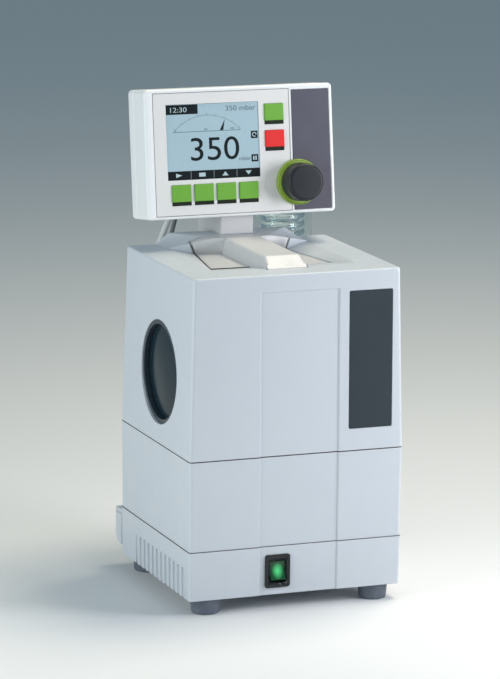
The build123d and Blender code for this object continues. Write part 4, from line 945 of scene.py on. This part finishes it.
class Stencil:
    """Thin raised marks, drawn flat in millimetres and then laid on the face."""

    ARC_STEPS = 24
    CAPITAL = 0.73

    def __init__(self) -> None:
        """Start with nothing drawn."""
        self.shape = bmesh.new()

    def _patch(self, middle: Vector, turn: Matrix, width: float, height: float) -> None:
        """Add a filled rectangle.

        Args:
            middle: Its middle, in metres.
            turn: How it is turned.
            width: Its width.
            height: Its height.
        """
        stretch = Matrix.Diagonal((width, height, 1.0, 1.0))
        bmesh.ops.create_grid(self.shape, x_segments=1, y_segments=1, size=0.5,
                              matrix=Matrix.Translation(middle) @ turn @ stretch)

    def bar(self, u0: float, v0: float, u1: float, v1: float) -> None:
        """Filled rectangle between two corners."""
        middle = Vector(((u0 + u1) / 2, (v0 + v1) / 2, 0.0)) * MM
        self._patch(middle, Matrix.Identity(4), abs(u1 - u0) * MM, abs(v1 - v0) * MM)

    def stroke(self, start: Pair, end: Pair, width: float) -> None:
        """Straight line between two points.

        Args:
            start: Where it starts.
            end: Where it ends.
            width: How wide it is.
        """
        first, second = Vector((*start, 0.0)) * MM, Vector((*end, 0.0)) * MM
        run = second - first
        turn = Matrix.Rotation(math.atan2(run.y, run.x), 4, "Z")
        self._patch((first + second) / 2, turn, run.length, width * MM)

    def frame(self, u0: float, v0: float, u1: float, v1: float, width: float) -> None:
        """Outline of a rectangle.

        Args:
            u0: Left side.
            v0: Foot.
            u1: Right side.
            v1: Top.
            width: How wide its line is.
        """
        self.bar(u0, v0, u1, v0 + width)
        self.bar(u0, v1 - width, u1, v1)
        self.bar(u0, v0 + width, u0 + width, v1 - width)
        self.bar(u1 - width, v0 + width, u1, v1 - width)

    def arc(self, centre: Pair, radius: float, start: float, sweep: float, width: float) -> None:
        """Ribbon along part of a circle.

        Args:
            centre: Middle of the circle.
            radius: Radius of the ribbon's middle line.
            start: Where it starts, in degrees.
            sweep: How far it goes, in degrees.
            width: How wide it is.
        """
        lean = math.radians(start)
        ray = Vector((math.cos(lean), math.sin(lean), 0.0))
        middle = Vector((*centre, 0.0)) * MM
        ends = [self.shape.verts.new(middle + ray * (radius + half) * MM) for half in (-width / 2, width / 2)]
        edge = self.shape.edges.new(ends)
        bmesh.ops.spin(self.shape, geom=[*ends, edge], cent=middle, axis=UP, dvec=(0, 0, 0),
                       angle=math.radians(sweep), steps=self.ARC_STEPS, use_duplicate=False)

    def wedge(self, *corners: Pair) -> None:
        """Filled polygon."""
        self.shape.faces.new([self.shape.verts.new(Vector((u, v, 0.0)) * MM) for u, v in corners])

    def words(self, text: str, u: float, v: float, height: float, stretch: float) -> None:
        """Characters whose lower left corner is at a place.

        Args:
            text: What is written.
            u: Left end.
            v: Foot of the characters.
            height: Height of a capital or digit.
            stretch: Width of the characters against the font's own.
        """
        curve = bpy.data.curves.new("lettering", "FONT")
        curve.body = text
        curve.size = height / self.CAPITAL
        writer = bpy.data.objects.new("lettering", curve)
        mesh = bpy.data.meshes.new_from_object(writer)
        place = Matrix.Translation((u * MM, v * MM, 0.0))
        mesh.transform(place @ Matrix.Diagonal((MM * stretch, MM, MM, 1.0)))
        self.shape.from_mesh(mesh)
        bpy.data.meshes.remove(mesh)
        bpy.data.objects.remove(writer)
        bpy.data.curves.remove(curve)

    def laid_on(self, plane: FacePlane, low: float, high: float) -> bmesh.types.BMesh:
        """Give the marks their thickness and lay them on the face.

        Args:
            plane: The face.
            low: Where the marks start, in metres out of the face.
            high: Where their tops are.

        Returns:
            The finished shape.
        """
        faces = self.shape.faces[:]
        bmesh.ops.recalc_face_normals(self.shape, faces=faces)
        made = bmesh.ops.extrude_face_region(self.shape, geom=faces, use_keep_orig=True)
        raised = [item for item in made["geom"] if isinstance(item, bmesh.types.BMVert)]
        bmesh.ops.translate(self.shape, vec=(0.0, 0.0, high - low), verts=raised)
        bmesh.ops.recalc_face_normals(self.shape, faces=self.shape.faces)
        bmesh.ops.transform(self.shape, matrix=plane.matrix(w=low), verts=self.shape.verts)
        return self.shape


@dataclass
class ScreenArt:
    """Marks on the screen and the line round the inlay, in millimetres on the face."""

    bench: Bench
    plane: FacePlane
    clock_plate: Patch = (-63.9, 32.2, -36.2, 40.0)
    menu_plate: Patch = (-64.0, -21.4, 16.6, -14.3)
    sign_plates: tuple[Patch, ...] = ((9.8, 10.2, 15.6, 16.3), (9.6, -9.1, 15.6, -3.1))
    needle: tuple[Pair, ...] = ((-17.4, 18.0), (-14.4, 18.0), (-12.8, 26.8))
    gauge: Pair = (-28.6, -8.4)
    gauge_radius: float = 39.3
    gauge_arc: Pair = (41.6, 96.8)
    gauge_line: float = 0.25
    ticks: int = 9
    first_tick: float = 45.0
    tick_turn: float = 11.25
    long_tick: float = 41.0
    short_tick: float = 40.3
    long_every: int = 4
    gauge_foot: tuple[Pair, Pair] = ((-58.4, 17.7), (0.5, 17.7))
    foot_line: float = 0.45
    pale_wedges: tuple[tuple[Pair, ...], ...] = (
        ((-57.0, -19.6), (-51.6, -17.8), (-57.0, -16.0)),
        ((-16.6, -19.4), (-11.2, -19.4), (-13.9, -16.0)),
        ((3.9, -16.2), (9.3, -16.2), (6.6, -19.6)),
        ((13.4, 14.2), (15.0, 14.2), (14.3, 12.8)),
    )
    pale_bars: tuple[Patch, ...] = (
        (-36.9, -19.4, -31.3, -16.2), (11.0, -7.8, 12.2, -4.4), (13.0, -7.8, 14.2, -4.4),
        (-44.0, -21.0, -43.8, -14.7), (-23.9, -21.0, -23.7, -14.7), (-3.8, -21.0, -3.6, -14.7),
    )
    repeat_sign: tuple[Pair, float, float, float, float] = ((12.7, 13.3), 1.6, 20.0, 290.0, 0.7)
    reading: Wording = ("350", -45.3, -6.1, 19.7, 1.118)
    clock: Wording = ("12:30", -61.6, 34.0, 4.2, 1.25)
    prints: tuple[Wording, ...] = (
        ("0", -56.6, 18.5, 1.5, 1.0), ("500", -31.4, 18.5, 1.5, 1.0), ("1000", -8.6, 18.5, 1.5, 1.0),
        ("mbar", -1.5, -7.6, 3.4, 1.1), ("350 mbar", -12.2, 33.8, 4.2, 1.2),
    )
    outline: tuple[float, ...] = (-75.5, -51.0, 44.1, 50.1, 0.45)
    ink_layer: Pair = (-0.02, 0.06)
    sign_layer: Pair = (0.04, 0.1)
    outline_layer: Pair = (-0.2, 0.03)

    def build(self) -> Iterable[str]:
        """Draw each colour of marks and lay it on the controller.

        Returns:
            Names of the pieces, each as it is done.
        """
        glass = self.plane.top_of(self.bench.node("display_window"))
        for name, marks, look, foot, (low, high) in (
            ("screen_marks", self.dark_marks(), Look.INK, glass, self.ink_layer),
            ("screen_print", self.small_print(), Look.FAINT_INK, glass, self.ink_layer),
            ("screen_signs", self.pale_signs(), Look.PALE_INK, glass, self.sign_layer),
            ("seam_and_gap_shade", self.inlay_line(), Look.SEAM_AND_GAP_SHADE, 0.0, self.outline_layer),
        ):
            self.bench.put(name, marks.laid_on(self.plane, foot + low * MM, foot + high * MM), look)
            yield name

    def dark_marks(self) -> Stencil:
        """Reading, gauge needle and the plates behind the pale signs.

        Returns:
            The marks.
        """
        marks = Stencil()
        for plate in (self.clock_plate, self.menu_plate, *self.sign_plates):
            marks.bar(*plate)
        marks.wedge(*self.needle)
        marks.words(*self.reading)
        return marks

    def small_print(self) -> Stencil:
        """Gauge with its scale, the unit and the value at the top.

        Returns:
            The marks.
        """
        marks = Stencil()
        marks.arc(self.gauge, self.gauge_radius, *self.gauge_arc, self.gauge_line)
        for step in range(self.ticks):
            lean = math.radians(self.first_tick + self.tick_turn * step)
            reach = self.short_tick if step % self.long_every else self.long_tick
            foot, tip = ((self.gauge[0] + radius * math.cos(lean), self.gauge[1] + radius * math.sin(lean))
                         for radius in (self.gauge_radius, reach))
            marks.stroke(foot, tip, self.gauge_line)
        marks.stroke(*self.gauge_foot, self.foot_line)
        for wording in self.prints:
            marks.words(*wording)
        return marks

    def pale_signs(self) -> Stencil:
        """Clock, the signs over the soft keys with the lines between them, and two more signs.

        Returns:
            The marks.
        """
        marks = Stencil()
        for corners in self.pale_wedges:
            marks.wedge(*corners)
        for bar in self.pale_bars:
            marks.bar(*bar)
        marks.words(*self.clock)
        marks.arc(*self.repeat_sign)
        return marks

    def inlay_line(self) -> Stencil:
        """Line round the inlay.

        Returns:
            The line.
        """
        marks = Stencil()
        marks.frame(*self.outline)
        return marks


@dataclass
class Controller:
    """Controller head: shells, film inlays, screen, keys and knob."""

    bench: Bench
    knob_u: float = 49.8 * MM
    knob_v: float = -27.6 * MM
    knob_radius: float = 16.0 * MM
    knob_foot: float = 4.5 * MM
    knob_top: float = 20.0 * MM
    knob_rim: float = 3.0 * MM
    knob_step: float = 0.3 * MM
    rim_steps: int = 6
    knob_crease: float = 30.0
    spindle: float = 3.0 * MM
    spindle_foot: float = -6.0 * MM
    groove_inner: float = 17.0 * MM
    groove_foot: Pair = (2.4 * MM, 18.15 * MM)
    groove_top: Pair = (3.0 * MM, 17.95 * MM)
    turned_faces: int = 96
    key_depth: float = 2.4 * MM
    key_edge: float = 0.7 * MM
    # Dark band of painted shade under each key, standing for the shadowed gap below it.
    shade_band: float = 3.0 * MM
    shade_band_sunk: float = -0.3 * MM
    shade_band_edge: float = 0.2 * MM

    def __post_init__(self) -> None:
        """Find the face."""
        self.plane = FacePlane.from_knob(self.bench.joint("knob_turn"), self.knob_u, self.knob_v)

    def build(self) -> Iterable[str]:
        """Build the head piece by piece.

        Returns:
            Names of the pieces, each as it is done.
        """
        for node, name, look in (
            ("controller_front", "controller_face_shell", Look.SHELL),
            ("controller_rear", "controller_back_shell", Look.SHELL),
            ("inlay_panel", "controller_inlay", Look.INLAY),
            ("side_strip", "controller_strip", Look.STRIP),
            ("display_window", "screen_pane", Look.SCREEN),
        ):
            self.bench.refine(node, name, look)
            yield name
        yield from ScreenArt(self.bench, self.plane).build()
        for node, look in (
            *((f"soft_key_{index}", Look.KEY_GREEN) for index in range(1, 5)),
            ("start_key", Look.KEY_GREEN),
            ("stop_key", Look.KEY_RED),
        ):
            yield self.key(node, look)
        self.bench.refine("knob_ring", "knob_surround", Look.LIME)
        yield "knob_surround"
        # Painted shade of the groove in the lime ring.
        self.bench.put("knob_groove_shade", self.groove_shade(), Look.GAP_SHADE)
        yield "knob_groove_shade"
        self.bench.put("setting_knob", self.knob(), Look.KNOB, "knob", stands_for="knob_cap",
                       crease=self.knob_crease)
        yield "setting_knob"

    def on_knob(self, profile: Sequence[Pair]) -> bmesh.types.BMesh:
        """Turn a profile about the knob's axis."""
        centre = self.plane.matrix(self.knob_u, self.knob_v).translation
        return turned_profile(profile, centre, self.plane.out, self.turned_faces)

    def groove_shade(self) -> bmesh.types.BMesh:
        """Dark ring laid in the lime ring: painted shade of the groove between its two bands.

        Returns:
            Its shape.
        """
        low, high = self.groove_foot, self.groove_top
        return self.on_knob([(low[0], self.groove_inner), low, high, (high[0], self.groove_inner)])

    def knob(self) -> bmesh.types.BMesh:
        """Knob with a flat front, a rounded rim and its spindle.

        Returns:
            Its shape.
        """
        rim = []
        for step in range(self.rim_steps + 1):
            lean = math.pi / 2 * step / self.rim_steps
            rim.append((self.knob_top - self.knob_rim * (1 - math.sin(lean)),
                        self.knob_radius - self.knob_step - self.knob_rim * (1 - math.cos(lean))))
        return self.on_knob([
            (self.spindle_foot, 0.0), (self.spindle_foot, self.spindle), (self.knob_foot, self.spindle),
            (self.knob_foot, self.knob_radius), *rim, (self.knob_top, 0.0),
        ])

    def local_box(self, node: str) -> list[Vector]:
        """Lowest and highest corner of a node in face coordinates.

        Args:
            node: CAD node.

        Returns:
            The two corners.
        """
        turn = self.plane.matrix().inverted()
        points = [turn @ point.co for point in self.bench.node(node).data.vertices]
        return [Vector(pick(point[axis] for point in points) for axis in range(3)) for pick in (min, max)]

    def key(self, node: str, look: Look) -> str:
        """Key with a rounded cap and a dark band of painted shade below it, where the gap under the key falls
        into shadow.

        Args:
            node: CAD node, which is also the name of its body.
            look: Finish of the cap.

        Returns:
            Name of the cap.
        """
        low, high = self.local_box(node)
        middle = (low + high) / 2
        width, height = high.x - low.x, high.y - low.y
        deep = self.key_depth
        cap = block((width, height - self.shade_band, deep),
                    self.plane.matrix(middle.x, middle.y + self.shade_band / 2, high.z - deep / 2), self.key_edge)
        self.bench.put(node + "_cap", cap, look, node, stands_for=node)
        # Painted shade of the gap under the key.
        shade_band = block((width, height, deep),
                      self.plane.matrix(middle.x, middle.y, self.shade_band_sunk - deep / 2), self.shade_band_edge)
        self.bench.put(node + "_ledge", shade_band, Look.GAP_SHADE, node)
        return node + "_cap"


# ---- Glassware ------------------------------------------------------------------------------
@dataclass
class Glassware:
    """Condenser, its coil and cap, and the receiving flask behind the casing."""

    bench: Bench
    tube: float = 2.4 * MM
    coil_radius: float = 16.5 * MM
    pitch: float = 7.2 * MM
    turns: int = 14
    turn_steps: int = 36
    tube_faces: int = 12

    def build(self) -> Iterable[str]:
        """Refine the vessels and wind the coil.

        Returns:
            Names of the pieces, each as it is done.
        """
        self.bench.refine("condenser_jacket", "condenser_glass", Look.CLEAR)
        yield "condenser_glass"
        self.bench.put("condenser_coil", self.coil(), Look.CLEAR, stands_for="cooling_coil")
        yield "condenser_coil"
        self.bench.refine("receiving_flask", "flask_glass", Look.CLEAR)
        yield "flask_glass"
        self.bench.refine("condenser_cap", "condenser_stopper", Look.SOCKET)
        yield "condenser_stopper"

    def coil(self) -> bmesh.types.BMesh:
        """Glass tube wound round the condenser's axis.

        Returns:
            Its shape.
        """
        jacket_low, jacket_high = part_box("condenser_jacket")
        cap_low, cap_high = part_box("condenser_cap")
        coil_low, coil_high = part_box("cooling_coil")
        foot = (coil_low.z + coil_high.z) / 2 - self.pitch * self.turns / 2
        centre = Vector(((jacket_low.x + jacket_high.x) / 2, (cap_low.y + cap_high.y) / 2, foot))
        start = Matrix.Translation(centre + Vector((self.coil_radius, 0.0, 0.0)))
        shape = bmesh.new()
        ring = bmesh.ops.create_circle(shape, segments=self.tube_faces, radius=self.tube,
                                       matrix=start @ Matrix.Rotation(math.pi / 2, 4, "X"))["verts"]
        edges = list({edge for vert in ring for edge in vert.link_edges})
        bmesh.ops.spin(shape, geom=ring + edges, cent=centre, axis=UP,
                       dvec=UP * (self.pitch / self.turn_steps), angle=math.tau * self.turns,
                       steps=self.turn_steps * self.turns, use_duplicate=False)
        bmesh.ops.holes_fill(shape, edges=shape.edges)
        bmesh.ops.recalc_face_normals(shape, faces=shape.faces)
        return shape


# ---- Cords ----------------------------------------------------------------------------------
@dataclass
class Line:
    """Hose or cable on its own smooth route."""

    bench: Bench
    name: str
    node: str
    look: Look
    radius: float
    length: float
    stiffness: str
    route: Sequence[Point]
    girth_steps: int = 5
    route_steps: int = 10
    order: int = 3

    def build(self) -> bpy.types.Object:
        """Returns:
            The cord's curve object.
        """
        curve = bpy.data.curves.new(self.name, "CURVE")
        curve.dimensions = "3D"
        curve.bevel_depth = self.radius
        curve.bevel_resolution = self.girth_steps
        curve.resolution_u = self.route_steps
        curve.use_fill_caps = True
        spline = curve.splines.new("NURBS")
        spline.points.add(len(self.route) - 1)
        for point, place in zip(spline.points, self.route):
            point.co = (*place, 1.0)
        spline.order_u = self.order
        spline.use_endpoint_u = True
        curve.materials.append(self.bench.paint.material(self.look))
        piece = bpy.data.objects.new(self.name, curve)
        bpy.context.scene.collection.objects.link(piece)
        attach(piece, PUMP)
        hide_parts(self.node)
        return piece


@dataclass
class Cords:
    """Vacuum hose and signal cable between the casing and the controller."""

    bench: Bench

    def build(self) -> Iterable[str]:
        """Lay the hose and the cable.

        Returns:
            Names of the cords, each as it is done.
        """
        hose = Line(self.bench, "suction_hose", "vacuum_hose", Look.HOSE, 2.8 * MM, 0.183, "stiff", (
            HOSE_START, (-0.0282, 0.108, 0.3095), (-0.0286, 0.122, 0.305), (-0.0296, 0.132, 0.296),
            (-0.032, 0.138, 0.284), (-0.036, 0.1415, 0.271), (-0.041, 0.143, 0.257), (-0.0465, 0.143, 0.242),
            (-0.0515, 0.1395, 0.2275), (-0.0555, 0.132, 0.2145), (-0.0576, 0.121, 0.206),
            (-0.058, 0.108, 0.2032), HOSE_END,
        ))
        piece = hose.build()
        yield hose.name
        cable = Line(self.bench, "control_cable", "signal_cable", Look.CABLE, 1.8 * MM, 0.325, "medium", (
            CABLE_START, (-0.020, 0.115, 0.3235), (-0.021, 0.126, 0.316), (-0.023, 0.1325, 0.303),
            (-0.026, 0.135, 0.288), (-0.030, 0.1365, 0.270), (-0.0345, 0.137, 0.249),
            (-0.0385, 0.1375, 0.225), (-0.0415, 0.1385, 0.198), (-0.043, 0.1405, 0.168),
            (-0.0425, 0.1425, 0.138), (-0.040, 0.143, 0.110), (-0.0365, 0.142, 0.086),
            (-0.034, 0.1405, 0.066), (-0.0328, 0.137, 0.050), (-0.0322, 0.1305, 0.039),
            (-0.0319, 0.123, 0.0343), CABLE_END,
        ))
        piece = cable.build()
        plugs = self.bench.refine("cable_plugs", "cable_connectors", Look.CABLE)
        yield cable.name


# ---- Studio ---------------------------------------------------------------------------------
@dataclass
class Studio:
    """Pale floor, soft lights and the camera."""

    focal: float = 3802.75
    frame_size: tuple[int, int] = (500, 679)
    sensor: float = 36.0
    camera_at: Point = (-1.1040, -2.8479, 0.8279)
    azimuth: float = 21.02
    pitch: float = 11.51
    roll: float = 0.58
    far_limit: float = 60.0
    floor_half: float = 12.0
    floor_patches: float = 2.0
    floor_roughness: float = 0.85
    floor_tones: tuple[tuple[float, ...], ...] = ((0.74, 0.75, 0.76, 1.0), (0.77, 0.775, 0.78, 1.0))
    sky_tone: tuple[float, ...] = (0.62, 0.86, 1.0, 1.0)
    sky_strength: float = 0.29
    softboxes: tuple[tuple[str, Point, Point, float, float, Colour], ...] = (
        ("key_light", (0.55, -0.42, 0.38), (0.02, -0.05, 0.17), 0.3, 3.65, (0.97, 0.96, 1.0)),
        ("fill_light", (-0.97, -0.30, 0.43), (0.0, 0.0, 0.2), 0.6, 5.7, (0.94, 0.97, 0.95)),
        ("top_light", (0.6, 0.15, 1.7), (0.0, 0.0, 0.2), 0.7, 19.5, (1.0, 0.91, 0.74)),
    )

    def build(self) -> None:
        """Set the whole stage."""
        self.floor()
        self.world()
        for softbox in self.softboxes:
            self.light(*softbox)
        self.camera()
        bpy.context.scene.view_settings.view_transform = "Standard"

    def floor(self) -> None:
        """Wide pale floor with a faint unevenness."""
        shape = bmesh.new()
        bmesh.ops.create_grid(shape, x_segments=1, y_segments=1, size=self.floor_half)
        mesh = bpy.data.meshes.new("studio_floor")
        shape.to_mesh(mesh)
        shape.free()
        made, wiring, shader = new_material("studio_paper")
        tone = wiring.mix(wiring.noise(wiring.place(), self.floor_patches), *self.floor_tones)
        wiring.fill(shader, {"Base Color": tone, "Roughness": self.floor_roughness})
        mesh.materials.append(made)
        floor = bpy.data.objects.new("studio_floor", mesh)
        bpy.context.scene.collection.objects.link(floor)
        floor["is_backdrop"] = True

    def world(self) -> None:
        """Even pale surroundings."""
        world = bpy.data.worlds.new("studio")
        world.use_nodes = True
        sky = world.node_tree.nodes["Background"]
        sky.inputs["Color"].default_value = self.sky_tone
        sky.inputs["Strength"].default_value = self.sky_strength
        bpy.context.scene.world = world

    def light(self, name: str, place: Point, target: Point, size: float, power: float,
              colour: Colour) -> None:
        """Square softbox aimed at a point.

        Args:
            name: Name of the light.
            place: Where it stands.
            target: Where it points.
            size: Length of its sides in metres.
            power: Its power in watts.
            colour: Its colour.
        """
        lamp = bpy.data.lights.new(name, "AREA")
        lamp.shape = "SQUARE"
        lamp.size = size
        lamp.energy = power
        lamp.color = colour
        holder = bpy.data.objects.new(name, lamp)
        holder.location = place
        holder.rotation_euler = (Vector(target) - Vector(place)).to_track_quat("-Z", "Y").to_euler()
        bpy.context.scene.collection.objects.link(holder)

    def camera(self) -> None:
        """Camera in front of the pump, a little to its left and above it."""
        turn, drop, roll = map(math.radians, (self.azimuth, self.pitch, self.roll))
        ahead = Vector((math.sin(turn) * math.cos(drop), math.cos(turn) * math.cos(drop), -math.sin(drop)))
        right = Vector((math.cos(turn), -math.sin(turn), 0.0))
        top = right.cross(ahead)
        level = right * math.cos(roll) + top * math.sin(roll)
        upright = top * math.cos(roll) - right * math.sin(roll)
        place = Matrix((level, upright, -ahead)).transposed().to_4x4()
        place.translation = Vector(self.camera_at)
        lens = bpy.data.cameras.new("view_camera")
        lens.sensor_width = self.sensor
        lens.lens = self.focal * self.sensor / max(self.frame_size)
        lens.clip_end = self.far_limit
        holder = bpy.data.objects.new("view_camera", lens)
        holder.matrix_world = place
        bpy.context.scene.collection.objects.link(holder)
        bpy.context.scene.camera = holder


def main() -> None:
    """Build the pump's visual model around its CAD frame."""
    logging.basicConfig(level=logging.INFO, format="%(name)s: %(message)s")
    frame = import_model()
    cad_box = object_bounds()
    bench = Bench(frame, Paintshop())
    Studio().build()
    for group in (Cords, Casing, Feet, Windows, Drive, Fittings, Controller, Glassware):
        for piece in group(bench).build():
            log.info("%s: %s", group.__name__, piece)
    for box in (cad_box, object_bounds()):
        json.dumps([[round(value, 5) for value in corner] for corner in box]) + "\n"


if __name__ == "__main__":
    main()
